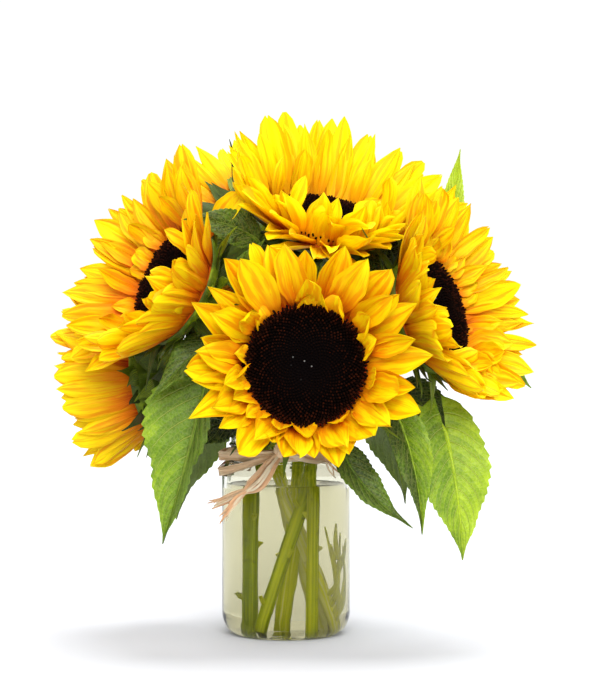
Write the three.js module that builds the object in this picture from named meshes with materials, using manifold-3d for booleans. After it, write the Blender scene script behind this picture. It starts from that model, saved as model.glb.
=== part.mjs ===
// Six cut sunflowers in a glass preserving jar of water, with a raffia tie round the jar's neck.
// Millimetres, +Z up. The origin is the middle of the jar's flat base, and -Y is the side seen from the front.
import * as THREE from "three";
import { mergeVertices } from "three/addons/utils/BufferGeometryUtils.js";
import Module from "manifold-3d";

const wasm = await Module();
wasm.setup();

// Clearance kept between pieces that touch on the real bunch
const GAP = 0.3;

// Jar
const JAR_HEIGHT = 130;
const JAR_RADIUS = 40;
const JAR_BASE_RADIUS = 30;
const JAR_WALL = 2.8;
const JAR_FLOOR = 4;
const SHOULDER_Z = 102.5;
const NECK_Z = 109;
const NECK_RADIUS = 34;
const MOUTH_RADIUS = 30.4;
const BEAD_RADIUS = 36;
const THREAD_RADIUS = 35.4;
const FINISH_RADIUS = 34.2;
const WATER_Z = 94;
const JAR_SIDES = 24;

// Raffia tie
const TIE_Z = 112.6;
const TIE_HEIGHT = 6.6;
const TIE_THICKNESS = 3.6;
const STRAND_WIDTH = 3.6;
const STRAND_THICKNESS = 1.5;
const KNOT_SIZE = [6.5, 4.2, 5.4];

// Stems
const STEM_RADIUS = 3.7;
const STEM_NECK_Z = 112;
const STEM_SIDES = 6;
const STEM_STEPS = 12;
const PETIOLE_RADIUS = 1.5;

// Flower head, in the head's own frame: +Z out of its face, the disc's rim at zero height
const DISC_RADIUS = 33;
const DISC_DOME = 5;
const DISC_DIMPLE = 3.5;
const DISC_RINGS = 5;
const DISC_SIDES = 22;
const FLORET_RELIEF = 0.9;
const SEAT_Z = -6;
const RING_SIDES = 14;
const RING_INNER = (DISC_RADIUS + GAP) / Math.cos(Math.PI / RING_SIDES);
const RING_OUTER = 37.6;
const RING_TOP = -1.6;
const PETAL_ROOT_RADIUS = 35.5;
const PETAL_ROOT_Z = -3.5;
const PETAL_WIDTH = 17;
const PETAL_THICKNESS = 1.2;
const SEPAL_ROOT_RADIUS = 33.5;
const SEPAL_ROOT_Z = -10;
const SEPAL_LENGTH = 31;
const SEPAL_WIDTH = 10;
const SEPAL_THICKNESS = 1.4;
const SEPAL_COUNT = 11;
const CALYX_DEPTH = 24;
const CALYX_SIDES = 12;

// Petals come in layers, from the outermost and lowest to the short ones that curl over the disc.
const LAYERS = [
  { count: 14, cup: 37, curl: 10, length: 1, width: 1, rootZ: -1.5 },
  { count: 13, cup: 48, curl: 4, length: 0.95, width: 0.98, rootZ: 0 },
  { count: 7, cup: 63, curl: 22, length: 0.62, width: 0.76, rootZ: 1.3 },
];
const INNER_LAYER = 2;

// What a blade may do to clear what stands in its way, tried in this order: bends up or down, turns to either side,
// and last a shorter blade
const BENDS = [0, 5, -5, 10, -10, 15, -15, 22, -22, 30, -30, 40, -40];
const TURNS = [0, 4, -4, 8, -8];
const SHORTENINGS = [1, 0.84, 0.68, 0.52];
const SLIGHT_BENDS = 7;
const BLADE_GAP = 0.05;

// Heads: place of the disc's rim centre, the way the face looks (turn from the front, and rise) and petal length. The
// outer petals have an extra cup and close more on one side than across from it, and so do the inner ones, with their
// own amounts; on that same side the petals may be shorter. Then the stem's foot in the jar and where it passes the neck.
const BLOOMS = [
  {
    name: "front", at: [12, -82, 168], turn: 0, rise: 4, petal: 47, cup: 0, lean: 5, inner: 0, innerLean: 5,
    leanTo: -90, short: 0.3, foot: [14, -19.2], neck: [15, -18.6],
  },
  {
    name: "left", at: [-69, -47, 217], turn: -58, rise: 22, petal: 51, cup: 0, lean: 9, inner: 4, innerLean: 16,
    leanTo: -50, short: 0, foot: [24.8, -3.8], neck: [-9, -6],
  },
  {
    name: "right", at: [90, -45, 200], turn: 58, rise: 15, petal: 47, cup: 0, lean: 9, inner: 2, innerLean: 14,
    leanTo: 232, short: 0, foot: [-14, -20], neck: [17.6, -9.5],
  },
  {
    name: "top", at: [27, -14, 257], turn: 25, rise: 62, petal: 56, cup: -8, lean: -24, inner: 15, innerLean: 0,
    leanTo: -80, short: 0.08, foot: [-2, 12], neck: [8, 4],
  },
  {
    name: "low_left", at: [-92, 24, 161], turn: -105, rise: -6, petal: 46, cup: 17, lean: 7, inner: 14, innerLean: 7,
    leanTo: -90, short: 0, foot: [-17, 2], neck: [-15.5, 4],
  },
  {
    name: "rear", at: [-20, 58, 248], turn: -165, rise: -10, petal: 47, cup: 2, lean: 3, inner: 2, innerLean: 3,
    leanTo: 90, short: 0, foot: [14, 20], neck: [-6, 19],
  },
];

// Leaves: the stem each grows on and the height where it leaves it, the width and upper face of its blade, how far it
// folds along the rib, how far its lobes are swept back, and its rib from base over bend to tip.
const LEAVES = [
  {
    stem: "left", height: 146, width: 66, face: [-0.35, -1, 0.1], fold: 14, lobe: 0.12,
    rib: [[-46, -46, 157], [-65, -55, 112], [-72, -44, 60]],
  },
  {
    stem: "left", height: 165, width: 25, face: [-0.3, -1, 0.5], fold: 18, lobe: 0.02,
    rib: [[-42, -52, 184], [-60, -64, 172], [-80, -60, 147]],
  },
  {
    stem: "left", height: 196, width: 22, face: [0.1, -1, 0.1], fold: 14, lobe: 0.02,
    rib: [[-17, -52, 243], [-36, -64, 256], [-60, -68, 254]],
  },
  {
    stem: "left", height: 186, width: 24, face: [-0.2, -1, 0.2], fold: 34, lobe: 0.04,
    rib: [[-24, -52, 213], [-25, -62, 226], [-12, -64, 243]],
  },
  {
    stem: "left", height: 138, width: 30, face: [-0.1, -0.8, 0.7], fold: 8, lobe: 0.02,
    rib: [[-24, -34, 137], [-46, -38, 134], [-66, -30, 114]],
  },
  {
    stem: "right", height: 190, width: 15, face: [-0.1, -1, 0.1], fold: 10, lobe: 0,
    rib: [[104, 14, 246], [106, 20, 280], [110, 12, 304]],
  },
  {
    stem: "right", height: 182, width: 22, face: [0, -1, 0.5], fold: 12, lobe: 0,
    rib: [[122, 24, 174], [140, 22, 168], [155, 12, 153]],
  },
  {
    stem: "right", height: 150, width: 46, face: [0.25, -1, 0.1], fold: 12, lobe: 0.3,
    rib: [[97, -40, 127], [105, -50, 90], [107, -42, 50]],
  },
  {
    stem: "right", height: 165, width: 30, face: [0.2, -1, 0.3], fold: 12, lobe: 0.05,
    rib: [[70, -22, 152], [86, -24, 140], [90, -26, 112]],
  },
  {
    stem: "right", height: 142, width: 30, face: [0.2, -1, 0], fold: 38, lobe: 0.03,
    rib: [[66, -50, 140], [80, -60, 110], [82, -50, 66]],
  },
  {
    stem: "front", height: 141, width: 26, face: [0.5, -1, 0.5], fold: 22, lobe: 0.02,
    rib: [[33, -47, 119], [44, -54, 92], [77, -48, 70]],
  },
  {
    stem: "low_left", height: 145, width: 50, face: [-0.5, 1, 0.2], fold: 14, lobe: 0.14,
    rib: [[-46, 53, 140], [-66, 72, 114], [-73, 68, 65]],
  },
  {
    stem: "top", height: 150, width: 52, face: [0.6, 1, 0.2], fold: 14, lobe: 0.14,
    rib: [[48, 42, 150], [72, 60, 126], [78, 60, 76]],
  },
  {
    stem: "top", height: 186, width: 27, face: [0.1, -1, 0.1], fold: 14, lobe: 0.02,
    rib: [[37, -27, 206], [50, -40, 220], [64, -38, 247]],
  },
  {
    stem: "top", height: 184, width: 40, face: [0.2, 0.6, 1], fold: 16, lobe: 0.08,
    rib: [[46, 36, 214], [70, 58, 236], [96, 60, 232]],
  },
  {
    stem: "rear", height: 160, width: 44, face: [0, 1, 0.4], fold: 14, lobe: 0.12,
    rib: [[2, 56, 156], [6, 84, 138], [10, 84, 92]],
  },
];

const LEAF_STATION_STEP = 12;
const LEAF_STATIONS = [4, 8];
const LEAF_THICKNESS = 1.2;
const TOOTH = 0.07;

const MATERIALS = {
  glass: new THREE.MeshStandardMaterial({ color: 0xd8e2dc, roughness: 0.05, transparent: true, opacity: 0.35 }),
  water: new THREE.MeshStandardMaterial({ color: 0xdfe6d4, roughness: 0.05, transparent: true, opacity: 0.3 }),
  raffia: new THREE.MeshStandardMaterial({ color: 0xcfa67c, roughness: 0.8, metalness: 0 }),
  petal: new THREE.MeshStandardMaterial({ color: 0xffc808, roughness: 0.6, metalness: 0 }),
  disc: new THREE.MeshStandardMaterial({ color: 0x1c0c06, roughness: 0.9, metalness: 0 }),
  leaf: new THREE.MeshStandardMaterial({ color: 0x6f9a1e, roughness: 0.6, metalness: 0 }),
};

const radians = THREE.MathUtils.degToRad;
const vector = (point) => new THREE.Vector3(...point);

// A number from -1 to 1 that depends only on the plant, the blade and what the number is for.
function jitter(plant, blade, use) {
  const modulus = 65521;
  let n = (plant * 7919 + blade * 1049 + use * 12983 + 12345) % modulus;
  for (let i = 0; i < 3; i++) {
    n = (n * (n + 2731) + 97) % modulus;
  }
  return (2 * n) / modulus - 1;
}

// A closed geometry as a solid, turned right side out.
function solidOf(geometry) {
  const bare = geometry.clone();
  bare.deleteAttribute("normal");
  bare.deleteAttribute("uv");
  const merged = mergeVertices(bare, 1e-4);
  const triVerts = new Uint32Array(merged.index.array);
  const make = () => new wasm.Manifold(
    new wasm.Mesh({ numProp: 3, vertProperties: new Float32Array(merged.attributes.position.array), triVerts }),
  );
  const made = make();
  if (made.volume() >= 0) {
    return made;
  }
  triVerts.reverse();
  return make();
}

// A solid as a named mesh.
function meshOf(name, solid, material) {
  const { numProp, numVert, vertProperties, triVerts } = solid.getMesh();
  const position = new Float32Array(numVert * 3);
  for (let i = 0; i < numVert; i++) {
    position.set(vertProperties.subarray(i * numProp, i * numProp + 3), i * 3);
  }
  const geometry = new THREE.BufferGeometry()
    .setAttribute("position", new THREE.BufferAttribute(position, 3))
    .setIndex(new THREE.BufferAttribute(new Uint32Array(triVerts), 1));
  geometry.computeVertexNormals();
  const mesh = new THREE.Mesh(geometry, material);
  mesh.name = name;
  return mesh;
}

const unionOf = (solids) => wasm.Manifold.union(solids);

// The largest body of a solid, without the scraps that a cut leaves.
function mainBody(solid) {
  const bodies = solid.decompose();
  return bodies.reduce((most, body) => (body.volume() > most.volume() ? body : most));
}

// A regular section for a round stem or strand.
function roundSection(radius, sides) {
  const corners = Array.from({ length: sides }, (_, i) => {
    const angle = (2 * Math.PI * i) / sides;
    return new THREE.Vector2(radius * Math.cos(angle), radius * Math.sin(angle));
  });
  return new THREE.Shape(corners);
}

function flatSection(width, thickness) {
  const [w, t] = [width / 2, thickness / 2];
  return new THREE.Shape([[-t, -w], [t, -w], [t, w], [-t, w]].map(([x, y]) => new THREE.Vector2(x, y)));
}

function sweep(section, curve, steps) {
  return solidOf(new THREE.ExtrudeGeometry(section, { steps, bevelEnabled: false, extrudePath: curve }));
}

// A blade with a sharp edge: each station has a left, middle and right point, and both faces are split alike.
function blade(stations, tip, thickness) {
  const points = [];
  for (const { left, middle, right, up } of stations) {
    const half = up.clone().multiplyScalar(thickness / 2);
    points.push(left, middle.clone().add(half), right, middle.clone().sub(half));
  }
  points.push(tip);
  const [LEFT, TOP, RIGHT, UNDER] = [0, 1, 2, 3];
  const faces = [[LEFT, TOP, RIGHT], [LEFT, RIGHT, UNDER]];
  for (let i = 0; i + 1 < stations.length; i++) {
    const [a, b] = [4 * i, 4 * (i + 1)];
    faces.push([a + LEFT, b + LEFT, b + TOP], [a + LEFT, b + TOP, a + TOP]);
    faces.push([a + TOP, b + TOP, b + RIGHT], [a + TOP, b + RIGHT, a + RIGHT]);
    faces.push([a + LEFT, b + UNDER, b + LEFT], [a + LEFT, a + UNDER, b + UNDER]);
    faces.push([a + UNDER, b + RIGHT, b + UNDER], [a + UNDER, a + RIGHT, b + RIGHT]);
  }
  const [last, end] = [4 * (stations.length - 1), points.length - 1];
  faces.push([last + LEFT, end, last + TOP], [last + TOP, end, last + RIGHT]);
  faces.push([last + LEFT, last + UNDER, end], [last + UNDER, last + RIGHT, end]);
  const geometry = new THREE.BufferGeometry().setFromPoints(points);
  geometry.setIndex(faces.flat());
  return solidOf(geometry);
}

// A petal or sepal in its head's frame: an arc that rises from the root, swayed to one side and twisted.
function headBlade({ angle, rootRadius, rootZ, cup, curl, length, width, sway, twist, hollow }, outline, thickness) {
  const outward = new THREE.Vector3(Math.cos(angle), Math.sin(angle), 0);
  const sideways = new THREE.Vector3(-Math.sin(angle), Math.cos(angle), 0);
  const axis = new THREE.Vector3(0, 0, 1);
  const spine = (s) => {
    const rise = cup + curl * s;
    const out = (length * (Math.sin(rise) - Math.sin(cup))) / curl;
    const up = (length * (Math.cos(cup) - Math.cos(rise))) / curl;
    return new THREE.Vector3()
      .addScaledVector(outward, rootRadius + out)
      .addScaledVector(axis, rootZ + up)
      .addScaledVector(sideways, sway * length * s * s);
  };
  const stations = outline.map(([s, share]) => {
    const rise = cup + curl * s;
    const inward = new THREE.Vector3().addScaledVector(outward, -Math.sin(rise)).addScaledVector(axis, Math.cos(rise));
    const turn = twist * s;
    const across = sideways.clone().multiplyScalar(Math.cos(turn)).addScaledVector(inward, Math.sin(turn));
    const up = inward.clone().multiplyScalar(Math.cos(turn)).addScaledVector(sideways, -Math.sin(turn));
    const half = (width / 2) * share;
    const middle = spine(s);
    const lift = hollow * half * Math.min(1, s / 0.3);
    const edge = (side) => middle.clone().addScaledVector(across, side * half).addScaledVector(up, lift);
    return { left: edge(1), middle, right: edge(-1), up };
  });
  return blade(stations, spine(1), thickness);
}

// Where a blade's stations lie along it, and its width there
const PETAL_OUTLINE = [[0, 0.42], [0.34, 0.95], [0.74, 0.84]];
const SEPAL_OUTLINE = [[0, 1], [0.5, 0.56]];

// Solids already placed, in the bunch's frame, which a new blade is bent clear of
const placed = [];

function place(owner, solid, isBlade = false) {
  placed.push({ owner, solid, isBlade, box: solid.boundingBox() });
}

// Whether a blade clears all that is placed: other nodes by the full gap, and its own head's blades where asked.
function isClear(solid, owner, fromOwnBlades) {
  const box = solid.boundingBox();
  const meets = (other) => [0, 1, 2].every((k) => other.box.min[k] - GAP < box.max[k]
    && box.min[k] < other.box.max[k] + GAP);
  const counts = (other) => other.owner !== owner || (fromOwnBlades && other.isBlade);
  return placed.filter((other) => counts(other) && meets(other)).every((other) => {
    const needed = other.owner === owner ? BLADE_GAP : GAP;
    return solid.minGap(other.solid, needed) >= needed;
  });
}

// The ways a blade may lie. First those that keep it clear of its own head's blades too, then all the others.
function* bladeWays() {
  for (const bend of BENDS.slice(0, SLIGHT_BENDS)) {
    for (const turn of TURNS) {
      yield { bend, turn, shortening: 1, fromOwnBlades: true };
    }
  }
  for (const shortening of SHORTENINGS) {
    for (const bend of BENDS) {
      for (const turn of TURNS) {
        yield { bend, turn, shortening, fromOwnBlades: false };
      }
    }
  }
}

// The blade in the first way that clears its neighbours; null where none does.
function bentClear(shape, outline, thickness, matrix, owner) {
  for (const { bend, turn, shortening, fromOwnBlades } of bladeWays()) {
    const cup = shape.cup + radians(bend);
    const angle = shape.angle + radians(turn);
    const solid = headBlade({ ...shape, cup, angle, length: shape.length * shortening }, outline, thickness);
    const moved = solid.transform(matrix.elements);
    if (isClear(moved, owner, fromOwnBlades)) {
      place(owner, moved, true);
      return solid;
    }
  }
  return null;
}

function petalShapes(bloom, plant) {
  const shapes = [];
  LAYERS.forEach((layer, k) => {
    const [cup, most] = k === INNER_LAYER ? [bloom.inner, bloom.innerLean] : [bloom.cup, bloom.lean];
    for (let i = 0; i < layer.count; i++) {
      const n = shapes.length;
      const angle = ((2 * Math.PI) / layer.count) * (i + 0.37 * k + 0.16 * jitter(plant, n, 1));
      const towards = Math.cos(angle - radians(bloom.leanTo));
      const shorter = 1 - bloom.short * Math.max(0, towards) ** 2;
      shapes.push({
        angle,
        rootRadius: PETAL_ROOT_RADIUS,
        rootZ: PETAL_ROOT_Z + layer.rootZ,
        cup: radians(layer.cup + cup + most * towards + 5 * jitter(plant, n, 2)),
        curl: radians(layer.curl + 13 * jitter(plant, n, 3) + 0.01),
        length: bloom.petal * layer.length * shorter * (1 + 0.1 * jitter(plant, n, 4)),
        width: PETAL_WIDTH * layer.width * (1 + 0.1 * jitter(plant, n, 5)),
        sway: 0.1 * jitter(plant, n, 6),
        twist: radians(24 * jitter(plant, n, 7)),
        hollow: 0.32 + 0.16 * jitter(plant, n, 8),
      });
    }
  });
  return shapes;
}

function sepalShapes(plant) {
  return Array.from({ length: SEPAL_COUNT }, (_, i) => {
    const n = 100 + i;
    return {
      angle: ((2 * Math.PI) / SEPAL_COUNT) * (i + 0.25 * jitter(plant, n, 1)),
      rootRadius: SEPAL_ROOT_RADIUS,
      rootZ: SEPAL_ROOT_Z,
      cup: radians(i % 2 ? 14 : -8) + radians(7 * jitter(plant, n, 2)),
      curl: radians((i % 2 ? 6 : -20) + 16 * jitter(plant, n, 3) + 0.01),
      length: SEPAL_LENGTH * (1 + 0.18 * jitter(plant, n, 4)),
      width: SEPAL_WIDTH * (1 + 0.12 * jitter(plant, n, 5)),
      sway: 0.16 * jitter(plant, n, 6),
      twist: radians(20 * jitter(plant, n, 7)),
      hollow: 0.25,
    };
  });
}

// The disc: a dome with a dimple, its face raised in alternate studs like the rings of florets.
function discSolid() {
  const height = (r) => {
    const share = r / DISC_RADIUS;
    return DISC_DOME * (1 - share * share) - DISC_DIMPLE * Math.exp(-((r / 9) ** 2));
  };
  const points = [new THREE.Vector3(0, 0, height(0))];
  for (let ring = 1; ring <= DISC_RINGS; ring++) {
    const r = (DISC_RADIUS * ring) / DISC_RINGS;
    for (let i = 0; i < DISC_SIDES; i++) {
      const angle = (2 * Math.PI * (i + 0.5 * ring)) / DISC_SIDES;
      const stud = ring < DISC_RINGS && (i + ring) % 2 ? FLORET_RELIEF : 0;
      points.push(new THREE.Vector3(r * Math.cos(angle), r * Math.sin(angle), height(r) + stud));
    }
  }
  const rim = 1 + (DISC_RINGS - 1) * DISC_SIDES;
  for (let i = 0; i < DISC_SIDES; i++) {
    points.push(points[rim + i].clone().setZ(SEAT_Z));
  }
  points.push(new THREE.Vector3(0, 0, SEAT_Z));
  const faces = [];
  const next = (i) => (i + 1) % DISC_SIDES;
  for (let i = 0; i < DISC_SIDES; i++) {
    faces.push([0, 1 + i, 1 + next(i)]);
    for (let ring = 0; ring < DISC_RINGS; ring++) {
      const [a, b] = [1 + ring * DISC_SIDES, 1 + (ring + 1) * DISC_SIDES];
      faces.push([a + i, b + i, b + next(i)], [a + i, b + next(i), a + next(i)]);
    }
    const foot = rim + DISC_SIDES;
    faces.push([foot + i, points.length - 1, foot + next(i)]);
  }
  return solidOf(new THREE.BufferGeometry().setFromPoints(points).setIndex(faces.flat()));
}

function lathe(profile, sides) {
  const turned = new THREE.LatheGeometry(profile.map(([r, z]) => new THREE.Vector2(r, z)), sides);
  return turned.rotateX(Math.PI / 2);
}

// The ring under the disc's edge that the petals grow from.
function ringSolid() {
  const profile = [
    [RING_INNER, SEAT_Z], [RING_OUTER, SEAT_Z], [RING_OUTER, RING_TOP], [RING_INNER, RING_TOP], [RING_INNER, SEAT_Z],
  ];
  return solidOf(lathe(profile, RING_SIDES));
}

// The green cup that carries the disc, the ring of petals and the sepals.
function calyxSolid() {
  const top = SEAT_Z - GAP;
  const profile = [
    [0, -CALYX_DEPTH - 6], [STEM_RADIUS + 0.6, -CALYX_DEPTH - 6], [STEM_RADIUS + 3, -CALYX_DEPTH + 1],
    [21, -17], [36.4, -11], [37.5, top], [0, top],
  ];
  return solidOf(lathe(profile, CALYX_SIDES));
}

function headMatrix({ at, turn, rise }) {
  const [t, e] = [radians(turn), radians(rise)];
  const face = new THREE.Vector3(Math.cos(e) * Math.sin(t), -Math.cos(e) * Math.cos(t), Math.sin(e));
  const side = new THREE.Vector3(0, 0, 1).cross(face).normalize();
  const up = face.clone().cross(side);
  return new THREE.Matrix4().makeBasis(side, up, face).setPosition(...at);
}

// A stem's line: straight through the jar from its foot to the neck, then in one bend to the back of its head.
function stemCurve(bloom) {
  const matrix = headMatrix(bloom);
  const foot = new THREE.Vector3(...bloom.foot, JAR_FLOOR + GAP);
  const neck = new THREE.Vector3(...bloom.neck, STEM_NECK_Z);
  const slant = Math.hypot(neck.x - foot.x, neck.y - foot.y) / (neck.z - foot.z);
  foot.z += STEM_RADIUS * slant;
  const rim = foot.clone().lerp(neck, 1 + (JAR_HEIGHT + 4 - neck.z) / (neck.z - foot.z));
  const behind = new THREE.Vector3(0, 0, -CALYX_DEPTH - 20).applyMatrix4(matrix);
  const head = new THREE.Vector3(0, 0, -CALYX_DEPTH).applyMatrix4(matrix);
  const points = [foot, foot.clone().lerp(neck, 0.5), neck, rim, rim.clone().lerp(behind, 0.5), behind, head];
  return new THREE.CatmullRomCurve3(points, false, "centripetal");
}

// The point of a rising stem at a height.
function pointAtHeight(curve, height) {
  let [low, high] = [0, 1];
  for (let i = 0; i < 30; i++) {
    const middle = (low + high) / 2;
    if (curve.getPoint(middle).z < height) {
      low = middle;
    } else {
      high = middle;
    }
  }
  return curve.getPoint(high);
}

// Half the width of a leaf at a share of its length, as a share of its full half width.
function leafShare(s) {
  return s < 0.3 ? 0.6 + 0.4 * Math.sin((Math.PI / 2) * (s / 0.3)) : 1 - ((s - 0.3) / 0.7) ** 1.2;
}

// A leaf with its stalk: the rib is a curve, and each side is swept back into lobes and cut into teeth.
function leafSolid(leaf, stalkFoot) {
  const [base, bend, tip] = leaf.rib.map(vector);
  const faceUp = vector(leaf.face);
  const rib = new THREE.QuadraticBezierCurve3(base, bend, tip);
  const length = rib.getLength();
  const fold = radians(leaf.fold);
  const count = THREE.MathUtils.clamp(Math.round(length / LEAF_STATION_STEP), ...LEAF_STATIONS);
  const stations = Array.from({ length: count }, (_, i) => {
    const s = i / count;
    const along = rib.getTangent(s);
    const across = along.clone().cross(faceUp).normalize();
    const up = across.clone().cross(along);
    const half = (leaf.width / 2) * leafShare(s) * (1 + (i % 2 ? TOOTH : -TOOTH));
    const back = -leaf.lobe * length * Math.max(0, 1 - s / 0.4) ** 1.5;
    const middle = rib.getPoint(s);
    const edge = (side) => middle.clone()
      .addScaledVector(across, side * half * Math.cos(fold))
      .addScaledVector(up, half * Math.sin(fold))
      .addScaledVector(along, back);
    return { left: edge(1), middle, right: edge(-1), up };
  });
  const start = rib.getTangent(0);
  const drop = stalkFoot.distanceTo(base) * 0.45;
  const stalk = new THREE.CubicBezierCurve3(
    stalkFoot, stalkFoot.clone().lerp(base, 0.35).add(new THREE.Vector3(0, 0, drop * 0.3)),
    base.clone().addScaledVector(start, -drop * 0.6), base.clone().addScaledVector(start, 4),
  );
  return unionOf([blade(stations, tip, LEAF_THICKNESS), sweep(roundSection(PETIOLE_RADIUS, 4), stalk, 5)]);
}

function jarSolid() {
  const inner = JAR_RADIUS - JAR_WALL;
  const profile = [
    [0, 0], [JAR_BASE_RADIUS, 0], [JAR_RADIUS - 3, 3.6], [JAR_RADIUS, 11],
    [JAR_RADIUS, SHOULDER_Z], [JAR_RADIUS - 1.5, SHOULDER_Z + 3.7], [NECK_RADIUS, NECK_Z],
    [NECK_RADIUS, TIE_Z + 4.2], [BEAD_RADIUS, TIE_Z + 5.6], [FINISH_RADIUS, TIE_Z + 7.4],
    [THREAD_RADIUS, TIE_Z + 10.6], [FINISH_RADIUS, TIE_Z + 12.2], [FINISH_RADIUS, JAR_HEIGHT],
    [MOUTH_RADIUS, JAR_HEIGHT], [MOUTH_RADIUS, NECK_Z - 1], [inner - 1.6, SHOULDER_Z + 2.5], [inner, SHOULDER_Z - 2],
    [inner, 13], [inner - 4, 6.2], [JAR_BASE_RADIUS - 2, JAR_FLOOR], [0, JAR_FLOOR],
  ];
  return solidOf(lathe(profile, JAR_SIDES));
}

// Water to a little below the shoulder, with a plain hole for each stem that stands in it.
function waterSolid(curves) {
  const inner = JAR_RADIUS - JAR_WALL - GAP;
  const profile = [
    [0, JAR_FLOOR + GAP], [JAR_BASE_RADIUS - 2.2, JAR_FLOOR + GAP], [inner - 4.1, 6.7], [inner, 13.2],
    [inner, WATER_Z - 2.2], [inner - 0.9, WATER_Z], [0, WATER_Z],
  ];
  const full = solidOf(lathe(profile, JAR_SIDES));
  const holes = curves.map((curve) => {
    const [foot, , neck] = curve.points;
    const line = new THREE.LineCurve3(foot.clone().lerp(neck, -0.06), neck);
    return sweep(roundSection(STEM_RADIUS + 0.8, STEM_SIDES), line, 1);
  });
  return mainBody(full.subtract(unionOf(holes)));
}

// Raffia: a wrapped band on the neck, a slack strand under it, a knot in front and its loose ends.
function tieSolid() {
  const [inside, outside] = [NECK_RADIUS + GAP, NECK_RADIUS + GAP + TIE_THICKNESS];
  const [low, high] = [TIE_Z - TIE_HEIGHT / 2, TIE_Z + TIE_HEIGHT / 2];
  const band = solidOf(lathe([
    [inside, low], [outside, low + 1.6], [outside - 0.7, TIE_Z], [outside, high - 1.2], [inside, high], [inside, low],
  ], JAR_SIDES));
  const knotAt = new THREE.Vector3(-2, -NECK_RADIUS - TIE_THICKNESS - 3, TIE_Z + 4);
  const knot = solidOf(new THREE.SphereGeometry(1, 8, 5).scale(...KNOT_SIZE).translate(...knotAt));
  const slackRadius = JAR_RADIUS + 1.9;
  const slack = Array.from({ length: 9 }, (_, i) => {
    const share = i / 8;
    const angle = radians(-98 - 150 * share);
    const sag = Math.sin(Math.PI * share);
    const r = inside + 2 + (slackRadius - inside - 2) * sag ** 0.3;
    return new THREE.Vector3(r * Math.cos(angle), r * Math.sin(angle), TIE_Z - 10.5 * sag);
  });
  const strand = flatSection(STRAND_WIDTH, STRAND_THICKNESS);
  const ends = [
    [[0, 3, 1], [-7, -1.5, -8], [-14.7, 0.5, -18], [-25.5, 4, -26], [-43, 12, -34]],
    [[0, 3, -1], [-6, -3, -9.5], [-13.5, -2, -20], [-25, 2, -27.5], [-37, 8, -42]],
    [[0, 3, -1], [14, 0, -3], [26, 4, -6], [33, 9, -16]],
  ];
  const loose = ends.map((route) => {
    const points = route.map((step) => knotAt.clone().add(vector(step)));
    return sweep(strand, new THREE.CatmullRomCurve3(points, false, "centripetal"), 6);
  });
  const round = sweep(strand, new THREE.CatmullRomCurve3(slack, false, "centripetal"), 12);
  return unionOf([band, knot, round, ...loose]);
}

const bunch = new THREE.Group();
const curves = new Map(BLOOMS.map((bloom) => [bloom.name, stemCurve(bloom)]));
const jar = jarSolid();
const tie = tieSolid();
place("jar", jar);
place("raffia_tie", tie);

// Stems and cups first, then discs and petal rings, as everything else is bent clear of them.
const greens = new Map();
for (const bloom of BLOOMS) {
  const owner = `stem_${bloom.name}`;
  const matrix = headMatrix(bloom);
  const cup = calyxSolid().transform(matrix.elements);
  const stem = sweep(roundSection(STEM_RADIUS, STEM_SIDES), curves.get(bloom.name), STEM_STEPS);
  greens.set(bloom.name, [stem, cup]);
  place(owner, stem);
  place(owner, cup);
  place(`bloom_${bloom.name}_disc`, discSolid().transform(matrix.elements));
  place(`bloom_${bloom.name}_rays`, ringSolid().transform(matrix.elements));
}
for (const leaf of LEAVES) {
  const solid = leafSolid(leaf, pointAtHeight(curves.get(leaf.stem), leaf.height));
  greens.get(leaf.stem).push(solid);
  place(`stem_${leaf.stem}`, solid);
}
BLOOMS.forEach((bloom, plant) => {
  const matrix = headMatrix(bloom);
  for (const shape of sepalShapes(plant)) {
    const sepal = bentClear(shape, SEPAL_OUTLINE, SEPAL_THICKNESS, matrix, `stem_${bloom.name}`);
    if (sepal) {
      greens.get(bloom.name).push(sepal.transform(matrix.elements));
    }
  }
});

bunch.add(meshOf("jar", jar, MATERIALS.glass));
bunch.add(meshOf("water", waterSolid([...curves.values()]), MATERIALS.water));
bunch.add(meshOf("raffia_tie", tie, MATERIALS.raffia));
BLOOMS.forEach((bloom, plant) => {
  const matrix = headMatrix(bloom);
  const owner = `bloom_${bloom.name}_rays`;
  const petals = petalShapes(bloom, plant)
    .map((shape) => bentClear(shape, PETAL_OUTLINE, PETAL_THICKNESS, matrix, owner))
    .filter((petal) => petal);
  const head = new THREE.Group();
  head.applyMatrix4(matrix);
  head.add(meshOf(`bloom_${bloom.name}_disc`, discSolid(), MATERIALS.disc));
  head.add(meshOf(owner, unionOf([ringSolid(), ...petals]), MATERIALS.petal));
  bunch.add(head);
  bunch.add(meshOf(`stem_${bloom.name}`, unionOf(greens.get(bloom.name)), MATERIALS.leaf));
});

export default bunch;
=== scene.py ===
"""Six cut sunflowers in a glass preserving jar of water with a raffia tie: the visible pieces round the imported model.

Sizes are in millimetres until a mesh is written. The origin is the middle of the jar's flat base, +Z is up and -Y is
the front.
"""

import logging
import math
from dataclasses import dataclass, replace
from enum import Enum
from math import radians
from typing import Iterator, Sequence

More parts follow.
